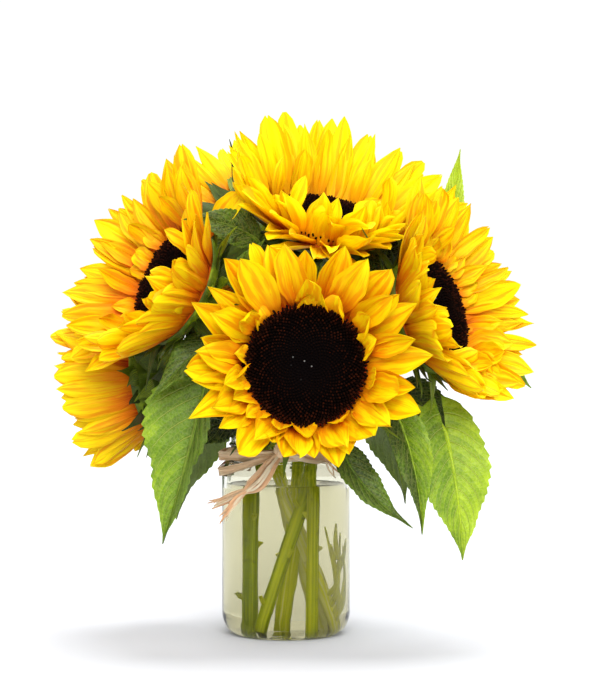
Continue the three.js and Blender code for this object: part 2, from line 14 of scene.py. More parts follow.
import bpy
import numpy as np
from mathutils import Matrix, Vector


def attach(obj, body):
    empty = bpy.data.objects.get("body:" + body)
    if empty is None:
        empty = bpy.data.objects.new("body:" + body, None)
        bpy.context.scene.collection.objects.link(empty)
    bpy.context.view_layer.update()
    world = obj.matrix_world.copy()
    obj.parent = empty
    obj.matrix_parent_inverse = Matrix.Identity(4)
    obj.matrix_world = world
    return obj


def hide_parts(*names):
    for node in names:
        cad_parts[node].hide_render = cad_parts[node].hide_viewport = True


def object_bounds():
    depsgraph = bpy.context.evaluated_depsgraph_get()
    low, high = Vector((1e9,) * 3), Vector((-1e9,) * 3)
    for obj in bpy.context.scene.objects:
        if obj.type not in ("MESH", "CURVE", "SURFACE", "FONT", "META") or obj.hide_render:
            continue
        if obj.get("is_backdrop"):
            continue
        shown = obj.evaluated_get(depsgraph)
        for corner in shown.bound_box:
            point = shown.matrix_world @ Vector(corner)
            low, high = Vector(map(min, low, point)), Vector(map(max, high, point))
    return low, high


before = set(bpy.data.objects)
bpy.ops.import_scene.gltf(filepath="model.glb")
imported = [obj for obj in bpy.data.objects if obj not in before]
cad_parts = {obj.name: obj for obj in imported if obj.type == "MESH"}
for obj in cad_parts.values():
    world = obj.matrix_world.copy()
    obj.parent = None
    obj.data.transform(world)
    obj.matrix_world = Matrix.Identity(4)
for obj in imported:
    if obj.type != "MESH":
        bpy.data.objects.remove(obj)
CAD_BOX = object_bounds()

log = logging.getLogger("sunflowers")

MM = 0.001
BODY = "root"
GOLDEN_ANGLE = radians(137.508)
SHARP_ANGLE = radians(55)
MATCH_DISTANCE = 0.05
STEM_RIBS = 9
VEIN_COUNT = 8.0
VEIN_SWEEP = 0.34
UP = np.array([0.0, 0.0, 1.0])

Triple = tuple[float, float, float]
Colour = Triple
Ramp = tuple[tuple[float, Colour], ...]
Point = Sequence[float]
Array = np.ndarray
Material = bpy.types.Material
Object = bpy.types.Object
Socket = bpy.types.NodeSocket


class Slot(Enum):
    """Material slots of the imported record."""

    GLASS = "glass"
    WATER = "water"
    RAFFIA = "raffia"
    PETAL = "petal"
    DISC = "disc"
    LEAF = "leaf"


# Arithmetic on points and curves


def jitter(plant: int, blade: int, use: int) -> float:
    """A number from -1 to 1 that depends only on the plant, the blade and what the number is for.

    Args:
        plant: Index of the flower.
        blade: Index of the petal, sepal or strand on it.
        use: Which of the blade's traits the number varies.

    Returns:
        The same number on every run.
    """
    modulus, rounds = 65521, 3
    n = (plant * 7919 + blade * 1049 + use * 12983 + 12345) % modulus
    for _ in range(rounds):
        n = (n * (n + 2731) + 97) % modulus
    return 2 * n / modulus - 1


def traits(plant: int, blade: int, uses: range) -> list[float]:
    """The numbers of a blade for several uses."""
    return [jitter(plant, blade, use) for use in uses]


def steps_round(sides: int) -> Array:
    """The angles of equal steps round the axis."""
    return 2 * np.pi * np.arange(sides) / sides


def around(angle: Array, radius: Array, height: Array) -> Array:
    """Points at angles round the axis."""
    return np.stack(np.broadcast_arrays(radius * np.cos(angle), radius * np.sin(angle), height), axis=-1)


def unit(vectors: Array) -> Array:
    """Vectors along the last axis, each at length one."""
    return vectors / np.maximum(np.linalg.norm(vectors, axis=-1, keepdims=True), 1e-9)


def lerp(a: Array, b: Array, share: float) -> Array:
    """The point at a share of the way from a to b."""
    return a + (b - a) * share


def catmull_rom(points: Array, steps: Sequence[float]) -> Array:
    """Points on a centripetal Catmull-Rom curve.

    Args:
        points: The points that the curve passes, one a row.
        steps: Places along the curve, from 0 at its start to 1 at its end.

    Returns:
        One point for each step.
    """
    spans = len(points) - 1
    made = []
    for step in steps:
        i = min(int(step * spans), spans - 1)
        x1, x2 = points[i], points[i + 1]
        x0 = points[i - 1] if i > 0 else 2 * x1 - x2
        x3 = points[i + 2] if i + 2 <= spans else 2 * x2 - x1
        d0, d1, d2 = (np.linalg.norm(b - a) ** 0.5 for a, b in ((x0, x1), (x1, x2), (x2, x3)))
        t1 = ((x1 - x0) / d0 - (x2 - x0) / (d0 + d1) + (x2 - x1) / d1) * d1
        t2 = ((x2 - x1) / d1 - (x3 - x1) / (d1 + d2) + (x3 - x2) / d2) * d1
        w = step * spans - i
        made.append(x1 + t1 * w + (3 * (x2 - x1) - 2 * t1 - t2) * w**2 + (2 * (x1 - x2) + t1 + t2) * w**3)
    return np.array(made)


def bezier(points: Array, steps: Array) -> Array:
    """Points on a Bezier curve.

    Args:
        points: Any number of control points, one a row.
        steps: Places along the curve, from 0 to 1.

    Returns:
        One point for each step.
    """
    order = len(points) - 1
    share = [math.comb(order, k) * (1 - steps) ** (order - k) * steps**k for k in range(order + 1)]
    return np.stack(share, axis=1) @ points


def profile_at(stops: Sequence[tuple[float, float]], places: Array) -> Array:
    """Values of a smooth curve through stops, which never swings past them.

    Args:
        stops: Pairs of place and value, places rising.
        places: Where the curve is read.

    Returns:
        One value for each place.
    """
    x, y = (np.array(column, float) for column in zip(*stops))
    rise = np.diff(y) / np.diff(x)
    slope = np.zeros_like(y)
    same = rise[:-1] * rise[1:] > 0
    slope[1:-1][same] = 2 * rise[:-1][same] * rise[1:][same] / (rise[:-1][same] + rise[1:][same])
    slope[0], slope[-1] = rise[0], rise[-1]
    i = np.clip(np.searchsorted(x, places) - 1, 0, len(rise) - 1)
    h = x[i + 1] - x[i]
    t = (places - x[i]) / h
    near = (1 + 2 * t) * (1 - t) ** 2 * y[i] + t * (1 - t) ** 2 * h * slope[i]
    far = t**2 * (3 - 2 * t) * y[i + 1] + t**2 * (t - 1) * h * slope[i + 1]
    return near + far


def rounded(profile: Sequence[tuple[float, float]], radius: float) -> Array:
    """A turned outline with each inner corner replaced by a short curve.

    Args:
        profile: Pairs of radius and height.
        radius: How far from a corner its curve begins, where the sides are long enough.

    Returns:
        The longer list of pairs.
    """
    most_of_side, corner_points = 0.45, 4
    points = np.array(profile, float)
    made = [points[0]]
    for before, corner, after in zip(points, points[1:], points[2:]):
        into, out = before - corner, after - corner
        reach = min(radius, most_of_side * np.linalg.norm(into), most_of_side * np.linalg.norm(out))
        ends = np.array([corner + unit(into) * reach, corner, corner + unit(out) * reach])
        made.extend(bezier(ends, np.linspace(0, 1, corner_points)))
    made.append(points[-1])
    return np.array(made)


# Meshes


@dataclass
class Solid:
    """A closed surface: points, faces by size, their UV corners, and which side of a blade a point is on."""

    points: Array
    faces: list[Array]
    corners: list[Array]
    side: Array

    def placed(self, axes: Array, at: Point) -> "Solid":
        """The same solid turned by the rows of axes and moved."""
        return replace(self, points=self.points @ axes + np.array(at))


def quads(index: Array, outward: bool) -> Array:
    """Four-cornered faces between neighbours in a grid of point numbers.

    Args:
        index: The grid of numbers.
        outward: Winds the faces so that they look along columns crossed with rows, and the other way where false.

    Returns:
        One face a row.
    """
    a, b, c, d = index[:-1, :-1], index[:-1, 1:], index[1:, 1:], index[1:, :-1]
    order = (a, b, c, d) if outward else (a, d, c, b)
    return np.stack(order, axis=-1).reshape(-1, 4)


def shell(grid: Array, thickness: float) -> Solid:
    """A thin closed blade about a grid of points, tapered to nothing at its rim.

    Args:
        grid: Rows of points along the blade, each running across it.
        thickness: Its thickness away from the rim.

    Returns:
        The blade, upper face on the side of rows crossed with columns.
    """
    rows, columns = grid.shape[:2]
    normal = unit(np.cross(np.gradient(grid, axis=0), np.gradient(grid, axis=1)))
    half = np.zeros((rows, columns, 1))
    half[1:-1, 1:-1] = thickness / 2
    top = np.arange(rows * columns).reshape(rows, columns)
    under = top.copy()
    under[1:-1, 1:-1] = rows * columns + np.arange((rows - 2) * (columns - 2)).reshape(rows - 2, columns - 2)
    back = (grid - normal * half)[1:-1, 1:-1].reshape(-1, 3)
    points = np.concatenate([(grid + normal * half).reshape(-1, 3), back])
    u, v = np.meshgrid(np.linspace(0, 1, rows), np.linspace(0, 1, columns), indexing="ij")
    uv = np.stack([u, v], axis=-1)
    uv = np.concatenate([uv.reshape(-1, 2), uv[1:-1, 1:-1].reshape(-1, 2)])
    faces = np.concatenate([quads(top, False), quads(under, True)])
    side = np.full((rows, columns), 0.5)
    side[1:-1, 1:-1] = 1
    side = np.concatenate([side.ravel(), np.zeros((rows - 2) * (columns - 2))])
    return Solid(points, [faces], [uv[faces]], side)


def lathe(profile: Array, sides: int, ripple: Array | None = None) -> Solid:
    """A turned solid whose outline starts and ends on the axis.

    Args:
        profile: Pairs of radius and height, from the foot's middle outwards.
        sides: Number of steps round it.
        ripple: What is added to the radius at each pair and step, where the piece isn't quite round.

    Returns:
        The solid, with single points on the axis.
    """
    rings = profile[1:-1]
    radius = rings[:, :1] + (0 if ripple is None else ripple[1:-1])
    points = around(steps_round(sides), radius, rings[:, 1:]).reshape(-1, 3)
    return closed_rings(points, len(rings), sides, [0, 0, profile[0, 1]], [0, 0, profile[-1, 1]])


def closed_rings(points: Array, rows: int, sides: int, first: Point, last: Point) -> Solid:
    """Rings of points joined side by side, with a fan to a middle point at each end.

    Args:
        points: The points of all rings in turn.
        rows: Number of rings.
        sides: Number of points in a ring.
        first: The middle point before the first ring.
        last: The middle point after the last ring.

    Returns:
        The solid, with UVs that run along it and round it.
    """
    index = np.arange(rows * sides).reshape(rows, sides)
    wrapped = np.concatenate([index, index[:, :1]], axis=1)
    walls = quads(wrapped, True)
    foot, head = rows * sides, rows * sides + 1
    low = np.stack([np.full(sides, foot), wrapped[0, 1:], wrapped[0, :-1]], axis=1)
    high = np.stack([np.full(sides, head), wrapped[-1, :-1], wrapped[-1, 1:]], axis=1)
    u, v = np.meshgrid(np.linspace(0, 1, rows), np.linspace(0, 1, sides + 1), indexing="ij")
    uv = np.stack([u, v], axis=-1).reshape(-1, 2)
    wall_corners = uv[quads(np.arange(rows * (sides + 1)).reshape(rows, sides + 1), True)]
    fans = np.concatenate([low, high])
    fan_corners = np.zeros((len(fans), 3, 2))
    fan_corners[len(low):, :, 0] = 1
    fan_corners[:, :, 1] = 0.5
    every = np.concatenate([points, [first], [last]])
    return Solid(every, [walls, fans], [wall_corners, fan_corners], np.ones(len(every)))


def tube(path: Array, radius: Array, sides: int, ridges: int = 0, relief: float = 0.0) -> Solid:
    """A solid swept along a path, with flat ends.

    Args:
        path: Points of its middle line.
        radius: Its radius at each.
        sides: Number of steps round it.
        ridges: Number of lengthwise ridges.
        relief: Height of a ridge as a share of the radius.

    Returns:
        The solid.
    """
    tangent = unit(np.gradient(path, axis=0))
    normal = np.zeros_like(path)
    last = np.cross(tangent[0], [0.3, 1.0, 0.1])
    for i, along in enumerate(tangent):
        last = last - along * (last @ along)
        last = last / np.linalg.norm(last)
        normal[i] = last
    other = np.cross(tangent, normal)
    angle = steps_round(sides)
    reach = radius[:, None] * (1 + relief * np.cos(ridges * angle))[None, :]
    offset = reach[..., None] * (
        normal[:, None] * np.cos(angle)[None, :, None] + other[:, None] * np.sin(angle)[None, :, None]
    )
    points = (path[:, None] + offset).reshape(-1, 3)
    return closed_rings(points, len(path), sides, path[0], path[-1])


def ribbon(path: Array, facing: Array, width: Array, thickness: float, columns: int = 6) -> Solid:
    """A flat creased strand that follows a path.

    Args:
        path: Points of its middle line.
        facing: The way its flat side looks at each.
        width: Its width at each.
        thickness: Its thickness.
        columns: Number of points across it.

    Returns:
        The strand.
    """
    tangent = unit(np.gradient(path, axis=0))
    across = unit(np.cross(facing, tangent))
    up = np.cross(tangent, across)
    t = np.linspace(-1, 1, columns)
    crease = np.outer(0.09 * width, np.cos(2.2 * np.pi * t))
    reach = np.outer(0.5 * width, t)
    grid = path[:, None] + across[:, None] * reach[..., None] + up[:, None] * crease[..., None]
    return shell(grid, thickness)


def corners_of(mesh: bpy.types.Mesh) -> Array:
    """The corners of a mesh.

    Args:
        mesh: The mesh.

    Returns:
        One row a corner, in millimetres.
    """
    points = np.zeros(len(mesh.vertices) * 3, np.float32)
    mesh.vertices.foreach_get("co", points)
    return points.reshape(-1, 3).astype(float) / MM


class MeshMaker:
    """Gathers the solids of one piece and writes them as a single mesh in metres."""

    def __init__(self) -> None:
        """Starts with nothing gathered."""
        self.solids: list[tuple[Solid, Array]] = []

    def add(self, solid: Solid, tone: float | Array = 0.5) -> None:
        """Adds a solid with the tone its finish reads, one value or one for each point."""
        self.solids.append((solid, np.broadcast_to(np.asarray(tone, float), (len(solid.points),))))

    def build(self, name: str, material: Material) -> Object:
        """Writes the piece.

        Args:
            name: Its name.
            material: Its finish.

        Returns:
            The new object, at the origin.
        """
        faces, corners, start = [], [], 0
        for solid, _ in self.solids:
            for block, uv in zip(solid.faces, solid.corners):
                faces.extend((block + start).tolist())
                corners.append(uv.reshape(-1, 2))
            start += len(solid.points)
        mesh = bpy.data.meshes.new(name)
        mesh.from_pydata((np.concatenate([s.points for s, _ in self.solids]) * MM).tolist(), [], faces)
        mesh.uv_layers.new(name="UVMap").data.foreach_set("uv", np.concatenate(corners).astype(np.float32).ravel())
        for label, values in (("Tone", [t for _, t in self.solids]), ("Side", [s.side for s, _ in self.solids])):
            layer = mesh.attributes.new(label, "FLOAT", "POINT")
            layer.data.foreach_set("value", np.concatenate(values).astype(np.float32))
        mesh.shade_smooth()
        mesh.set_sharp_from_angle(angle=SHARP_ANGLE)
        mesh.materials.append(material)
        made = bpy.data.objects.new(name, mesh)
        bpy.context.scene.collection.objects.link(made)
        return made


def finish_piece(piece: Object, slot: Slot, *nodes: str) -> None:
    """Hangs a finished piece on its body and hides the CAD nodes it stands for.

    Args:
        piece: The piece.
        slot: Its material slot; not used.
        *nodes: The CAD nodes that it replaces.
    """
    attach(piece, BODY)
    if nodes:
        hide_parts(*nodes)
    log.info("%s: %d faces", piece.name, len(piece.data.polygons))


# Node trees


def opaque(colour: object) -> object:
    """A colour with its alpha, and a socket as it is."""
    return (*colour, 1.0) if isinstance(colour, tuple) and len(colour) == 3 else colour


class NodeBench:
    """Makes and links the nodes of a material or of a geometry tree."""

    def __init__(self, tree: bpy.types.NodeTree) -> None:
        """Works on the given tree."""
        self.tree = tree

    def node(self, kind: str, inputs: dict | None = None, **settings: object) -> bpy.types.Node:
        """Adds a node.

        Args:
            kind: Blender's name for it.
            inputs: Plain values and sockets for its inputs, by name or number.
            **settings: Its own settings.

        Returns:
            The node.
        """
        made = self.tree.nodes.new(kind)
        for key, value in settings.items():
            setattr(made, key, value)
        for key, value in (inputs or {}).items():
            if isinstance(value, Socket):
                self.tree.links.new(value, made.inputs[key])
            else:
                made.inputs[key].default_value = value
        return made

    def math(self, operation: str, a: object, b: object = 0.0, c: object = 0.0, clamp: bool = False) -> Socket:
        """The result of one arithmetic step."""
        return self.node("ShaderNodeMath", {0: a, 1: b, 2: c}, operation=operation, use_clamp=clamp).outputs[0]

    def times(self, a: object, b: object) -> Socket:
        """The product of two numbers."""
        return self.math("MULTIPLY", a, b)

    def plus(self, a: object, b: object, clamp: bool = False) -> Socket:
        """The sum of two numbers, held between 0 and 1 where clamp is set."""
        return self.math("ADD", a, b, clamp=clamp)

    def minus(self, a: object, b: object) -> Socket:
        """The difference of two numbers."""
        return self.math("SUBTRACT", a, b)

    def swing(self, value: object, amount: float) -> Socket:
        """A number from 0 to 1 turned into one that swings about 0 by half the amount."""
        return self.times(self.minus(value, 0.5), amount)

    def vector(self, x: object, y: object, z: object) -> Socket:
        """A vector of three numbers or sockets."""
        return self.node("ShaderNodeCombineXYZ", {0: x, 1: y, 2: z}).outputs[0]

    def mix(self, share: object, a: object, b: object) -> Socket:
        """A colour between a and b."""
        return self.node("ShaderNodeMix", {0: share, 6: opaque(a), 7: opaque(b)}, data_type="RGBA").outputs[2]

    def ramp(self, share: object, stops: Ramp) -> Socket:
        """A colour read off a ramp.

        Args:
            share: Where it is read, from 0 to 1.
            stops: The ramp's places and colours.

        Returns:
            The colour.
        """
        made = self.node("ShaderNodeValToRGB", {0: share})
        elements = made.color_ramp.elements
        while len(elements) < len(stops):
            elements.new(0.5)
        for element, (place, colour) in zip(elements, stops):
            element.position, element.color = place, opaque(colour)
        return made.outputs[0]

    def fade(self, value: object, start: float, end: float) -> Socket:
        """1 where value is at start and 0 from end on, or the other way round where end is the lower."""
        inputs = {0: value, 1: start, 2: end, 3: 1.0, 4: 0.0}
        return self.node("ShaderNodeMapRange", inputs, interpolation_type="SMOOTHSTEP").outputs[0]

    def value_of(self, name: str) -> Socket:
        """A named value stored on the piece's points."""
        return self.node("ShaderNodeAttribute", attribute_name=name).outputs["Fac"]

    def uv(self) -> tuple[Socket, Socket]:
        """The piece's own place along and across its surface."""
        split = self.node("ShaderNodeSeparateXYZ", {0: self.node("ShaderNodeUVMap", uv_map="UVMap").outputs[0]})
        return split.outputs[0], split.outputs[1]

    def place(self) -> Socket:
        """The point's place in the piece."""
        return self.node("ShaderNodeTexCoord").outputs["Object"]

    def noise(self, vector: object, scale: float, detail: float = 2.0, distortion: float = 0.0) -> Socket:
        """Smooth noise from 0 to 1."""
        inputs = {"Vector": vector, "Scale": scale, "Detail": detail, "Distortion": distortion}
        return self.node("ShaderNodeTexNoise", inputs).outputs[0]

    def streaks(self, scale: Triple, detail: float, shift: float = 0.0) -> Socket:
        """Noise drawn out along the piece's own surface, another one for each tone.

        Args:
            scale: How often it changes along the surface, across it and with the tone.
            detail: How fine it goes.
            shift: What is added to the tone's share, for a second noise.

        Returns:
            A number from 0 to 1.
        """
        along, across = self.uv()
        own = self.math("MULTIPLY_ADD", self.value_of("Tone"), scale[2], shift)
        return self.noise(self.vector(self.times(along, scale[0]), self.times(across, scale[1]), own), 1.0, detail)

    def bump(self, height: object, distance: float, strength: float = 1.0) -> Socket:
        """A normal roughened by a height, with its depth in metres."""
        return self.node("ShaderNodeBump", {"Height": height, "Distance": distance, "Strength": strength}).outputs[0]

    def surface(self, inputs: dict, glow: float = 0.0) -> None:
        """Makes what the material shows.

        Args:
            inputs: The inputs of its shader.
            glow: The share of it that lets light through in its own colour.
        """
        shader = self.node("ShaderNodeBsdfPrincipled", inputs)
        if glow:
            through = self.node("ShaderNodeBsdfTranslucent", {"Color": inputs["Base Color"]})
            shader = self.node("ShaderNodeMixShader", {0: glow, 1: shader.outputs[0], 2: through.outputs[0]})
        self.node("ShaderNodeOutputMaterial", {"Surface": shader.outputs[0]})


# Finishes


@dataclass(frozen=True)
class Finish:
    """What the finishes have in common."""

    name: str

    def dress(self, bench: NodeBench) -> None:
        """Makes the nodes of the finish; each finish has its own."""
        raise NotImplementedError

    def material(self) -> Material:
        """Makes the finish.

        Returns:
            Its material.
        """
        material = bpy.data.materials.new(self.name)
        material.use_nodes = True
        material.node_tree.nodes.clear()
        self.dress(NodeBench(material.node_tree))
        return material


@dataclass(frozen=True)
class PetalFinish(Finish):
    """Ray petals: deep orange at the root and clear yellow at the tip, finely streaked, with light coming through."""

    # root and low: the petal's own deep orange base, made deeper still as painted shade near the disc
    root: Colour
    low: Colour
    middle: Colour
    tip: Colour
    # groove: the painted shade colour of the creases and fine lines
    groove: Colour
    stops: tuple[float, ...] = (0.0, 0.2, 0.48, 0.84)
    fine_scale: Triple = (2.0, 26.0, 60.0)
    broad_scale: Triple = (1.6, 6.0, 60.0)
    streaked: float = 0.34
    own_shade: float = 0.3
    crease_shade_share: float = 0.55
    line_share: float = 0.3
    glow: float = 0.36

    def dress(self, bench: NodeBench) -> None:
        """Makes the nodes of the finish.

        Args:
            bench: Where they are made.
        """
        fine = bench.streaks(self.fine_scale, 3.0)
        broad = bench.streaks(self.broad_scale, 2.0, 9.0)
        streaked = bench.plus(bench.uv()[0], bench.swing(fine, self.streaked))
        place = bench.plus(streaked, bench.swing(bench.value_of("Tone"), self.own_shade), clamp=True)
        base = bench.ramp(place, tuple(zip(self.stops, (self.root, self.low, self.middle, self.tip))))
        # Painted shade: the petal darkens towards the groove colour where the broad and the fine noise are low, in the
        # hollows of its bump.
        crease_shaded = bench.mix(bench.fade(broad, 0.38, 0.54), base, bench.mix(self.crease_shade_share, base, self.groove))
        lines = bench.mix(bench.fade(fine, 0.34, 0.46), crease_shaded, bench.mix(self.line_share, crease_shaded, self.groove))
        relief = bench.plus(fine, bench.times(broad, 1.6))
        bench.surface({"Base Color": lines, "Roughness": 0.56, "Specular IOR Level": 0.16,
                       "Normal": bench.bump(relief, 0.0005, 0.6)}, self.glow)


@dataclass(frozen=True)
class FloretFinish(Finish):
    """Florets of the disc: near black, with red-brown anthers that thicken towards the rim, and a few pale specks."""

    name: str = "floret_brown_black"
    heart: Colour = (0.0015, 0.0006, 0.0007)
    dark: Colour = (0.003, 0.0008, 0.0004)
    rim: Colour = (0.011, 0.0028, 0.0012)
    anther: Colour = (0.05, 0.01, 0.003)
    # The pale colour of the painted glints on the tops of a few florets near the middle.
    painted_glint: Colour = (0.2, 0.2, 0.19)
    anther_share: float = 0.75

    def dress(self, bench: NodeBench) -> None:
        """Makes the nodes of the finish.

        Args:
            bench: Where they are made.
        """
        share, pick, height = (bench.value_of(name) for name in ("Share", "Pick", "Side"))
        base = bench.ramp(share, ((0.0, self.heart), (0.3, self.dark), (0.8, self.dark), (1.0, self.rim)))
        late = bench.times(bench.fade(share, 1.0, 0.25), height)
        picked = bench.math("MULTIPLY", late, bench.fade(pick, 1.0, 0.35), clamp=True)
        tipped = bench.mix(bench.times(picked, self.anther_share), base, self.anther)
        # Painted glints: a few florets near the middle are pale on top.
        glint_places = bench.times(bench.fade(share, 0.2, 0.28), bench.fade(pick, 0.985, 0.955))
        with_painted_glints = bench.mix(bench.times(glint_places, height), tipped, self.painted_glint)
        grain = bench.noise(bench.place(), 2600.0)
        bench.surface({"Base Color": with_painted_glints, "Roughness": 0.85, "Specular IOR Level": 0.04,
                       "Normal": bench.bump(grain, 0.0002)})


@dataclass(frozen=True)
class LeafFinish(Finish):
    """Leaves: a green set by each leaf's tone, pale ribs and side veins, a fine net between, a duller back."""

    name: str = "leaf_green"
    greens: Ramp = (
        (0.0, (0.006, 0.014, 0.002)), (0.3, (0.04, 0.075, 0.003)), (0.6, (0.13, 0.24, 0.004)),
        (1.0, (0.42, 0.58, 0.015)),
    )
    vein: Colour = (0.55, 0.6, 0.16)
    back: Colour = (0.2, 0.25, 0.09)
    # How strongly each panel between side veins is painted darker on one side and lighter on the other: painted light
    # and shade of its relief.
    raised: float = 0.12
    mottling: float = 0.26
    patchiness: float = 0.5
    rib_width: float = 0.05
    vein_width: float = 0.075
    vein_share: float = 0.6
    net_share: float = 0.2
    line_share: float = 0.85
    vein_green: float = 0.25
    back_share: float = 0.55
    glow: float = 0.18

    def dress(self, bench: NodeBench) -> None:
        """Makes the nodes of the finish.

        Args:
            bench: Where they are made.
        """
        along, across = bench.uv()
        place = bench.place()
        patchy = bench.noise(place, 60.0, 4.0, 0.4)
        mottled = bench.noise(place, 380.0, 3.0, 0.6)
        out = bench.math("ABSOLUTE", bench.math("MULTIPLY_ADD", across, 2.0, -1.0))
        cell = bench.math("FRACT", bench.times(bench.minus(along, bench.times(out, VEIN_SWEEP)), VEIN_COUNT))
        # Random patches, and the painted light and shade of each panel between side veins.
        patches_and_relief_shade = bench.plus(bench.swing(patchy, self.patchiness), bench.swing(cell, self.raised))
        spread = bench.plus(bench.swing(mottled, self.mottling), patches_and_relief_shade)
        green = bench.ramp(bench.plus(bench.value_of("Tone"), spread, clamp=True), self.greens)
        aside = bench.math("ABSOLUTE", bench.minus(cell, 0.5))
        side_vein = bench.times(bench.fade(aside, 0.0, self.vein_width), bench.fade(out, 0.55, 1.05))
        rib = bench.fade(out, 0.0, self.rib_width)
        ribs = bench.math("MAXIMUM", bench.times(side_vein, self.vein_share), rib)
        cells = bench.node("ShaderNodeTexVoronoi", {"Vector": place, "Scale": 430.0}, feature="DISTANCE_TO_EDGE")
        net = cells.outputs[0]
        lines = bench.math("MAXIMUM", ribs, bench.times(bench.fade(net, 0.0, 0.16), self.net_share))
        lit_vein = bench.mix(self.vein_green, self.vein, green)
        upper = bench.mix(bench.times(lines, self.line_share), green, lit_vein)
        lower = bench.mix(self.back_share, upper, self.back)
        colour = bench.mix(bench.fade(bench.value_of("Side"), 0.0, 0.5), upper, lower)
        height = bench.minus(bench.plus(bench.times(mottled, 0.6), bench.times(net, 0.5)), ribs)
        bench.surface({"Base Color": colour, "Roughness": 0.46, "Specular IOR Level": 0.3,
                       "Normal": bench.bump(height, 0.001, 0.8)}, self.glow)


@dataclass(frozen=True)
class StemFinish(Finish):
    """Stems, cups and sepals: a green set by tone, streaked lengthwise, with brown where they are bruised."""

    name: str = "stem_green"
    # The pale top stops are painted light: the bright tones of the stems inside the jar reach them.
    greens: Ramp = (
        (0.0, (0.015, 0.024, 0.003)), (0.3, (0.08, 0.125, 0.003)), (0.6, (0.42, 0.53, 0.004)),
        (0.85, (0.92, 0.94, 0.04)), (1.0, (1.0, 1.0, 0.5)),
    )
    bruise: Colour = (0.1, 0.055, 0.02)
    streak_scale: Triple = (5.0, 30.0, 40.0)
    streaked: float = 0.6
    rib_shade: float = 0.05
    bruise_share: float = 0.6

    def dress(self, bench: NodeBench) -> None:
        """Makes the nodes of the finish.

        Args:
            bench: Where they are made.
        """
        streaks = bench.streaks(self.streak_scale, 3.0)
        blotches = bench.noise(bench.place(), 75.0, 4.0, 0.6)
        ribs = bench.math("SINE", bench.times(bench.uv()[1], 2 * math.pi * STEM_RIBS))
        # Painted light and shade: nine bands a turn, one for each rib of the stem.
        streaked = bench.plus(bench.swing(streaks, self.streaked), bench.times(ribs, self.rib_shade))
        green = bench.ramp(bench.plus(bench.value_of("Tone"), streaked, clamp=True), self.greens)
        bruised = bench.mix(bench.times(bench.fade(blotches, 0.72, 0.6), self.bruise_share), green, self.bruise)
        bench.surface({"Base Color": bruised, "Roughness": 0.52, "Specular IOR Level": 0.22,
                       "Normal": bench.bump(bench.plus(streaks, blotches), 0.0005, 0.6)})


@dataclass(frozen=True)
class HairFinish(Finish):
    """Fine pale bristles of the stems and cups, mottled with green."""

    name: str = "bristle_pale"
    green: Colour = (0.16, 0.2, 0.05)
    pale: Colour = (0.42, 0.44, 0.2)

    def dress(self, bench: NodeBench) -> None:
        """Makes the nodes of the finish."""
        colour = bench.mix(bench.noise(bench.place(), 300.0), self.green, self.pale)
        bench.surface({"Base Color": colour, "Roughness": 0.6, "Sheen Weight": 0.2})


@dataclass(frozen=True)
class RaffiaFinish(Finish):
    """Raffia: dry tan fibre, streaked lengthwise, paler in some strands, with brown between the fibres."""

    name: str = "raffia_tan"
    strands: Ramp = (
        (0.0, (0.62, 0.26, 0.1)), (0.3, (0.92, 0.54, 0.28)), (0.65, (0.98, 0.72, 0.44)), (1.0, (1.0, 0.88, 0.64)),
    )
    fibre: Colour = (0.26, 0.13, 0.06)
    fibre_scale: Triple = (7.0, 22.0, 50.0)
    streaked: float = 0.7
    fibre_share: float = 0.6
    glow: float = 0.15

    def dress(self, bench: NodeBench) -> None:
        """Makes the nodes of the finish.

        Args:
            bench: Where they are made.
        """
        fibres = bench.streaks(self.fibre_scale, 4.0)
        shade = bench.plus(bench.value_of("Tone"), bench.swing(fibres, self.streaked), clamp=True)
        between = bench.times(bench.fade(fibres, 0.3, 0.43), self.fibre_share)
        lines = bench.mix(between, bench.ramp(shade, self.strands), self.fibre)
        bench.surface({"Base Color": lines, "Roughness": 0.66, "Specular IOR Level": 0.35, "Sheen Weight": 0.15,
                       "Normal": bench.bump(fibres, 0.0006, 0.9)}, self.glow)


@dataclass(frozen=True)
class ClearFinish(Finish):
    """Glass or water: a clear body with a faint tint and a slightly uneven surface, drawn out upwards."""

    tint: Colour
    ior: float
    roughness: float = 0.0
    unevenness: float = 0.0
    scale: float = 30.0
    drawn: float = 1.0
    shine: Colour = (0.16, 0.16, 0.16)

    def dress(self, bench: NodeBench) -> None:
        """Makes the nodes of the finish.

        Args:
            bench: Where they are made.
        """
        inputs = {"Vector": bench.place(), "Scale": (1.0, 1.0, 1 / self.drawn)}
        slow = bench.noise(bench.node("ShaderNodeMapping", inputs).outputs[0], self.scale)
        bench.surface({"Base Color": opaque(self.tint), "Roughness": self.roughness, "IOR": self.ior,
                       "Transmission Weight": 1.0, "Specular Tint": opaque(self.shine),
                       "Normal": bench.bump(slow, self.unevenness)})


@dataclass(frozen=True)
class FloorFinish(Finish):
    """The plain pale floor."""

    name: str = "floor_pale"
    colour: Colour = (0.57, 0.58, 0.605)

    def dress(self, bench: NodeBench) -> None:
        """Makes the nodes of the finish."""
        bench.surface({"Base Color": opaque(self.colour), "Roughness": 0.9, "Specular IOR Level": 0.1})


# Geometry trees


SOCKET_KINDS = (
    (int, "NodeSocketInt"),
    (float, "NodeSocketFloat"),
    (Object, "NodeSocketObject"),
    (Material, "NodeSocketMaterial"),
)


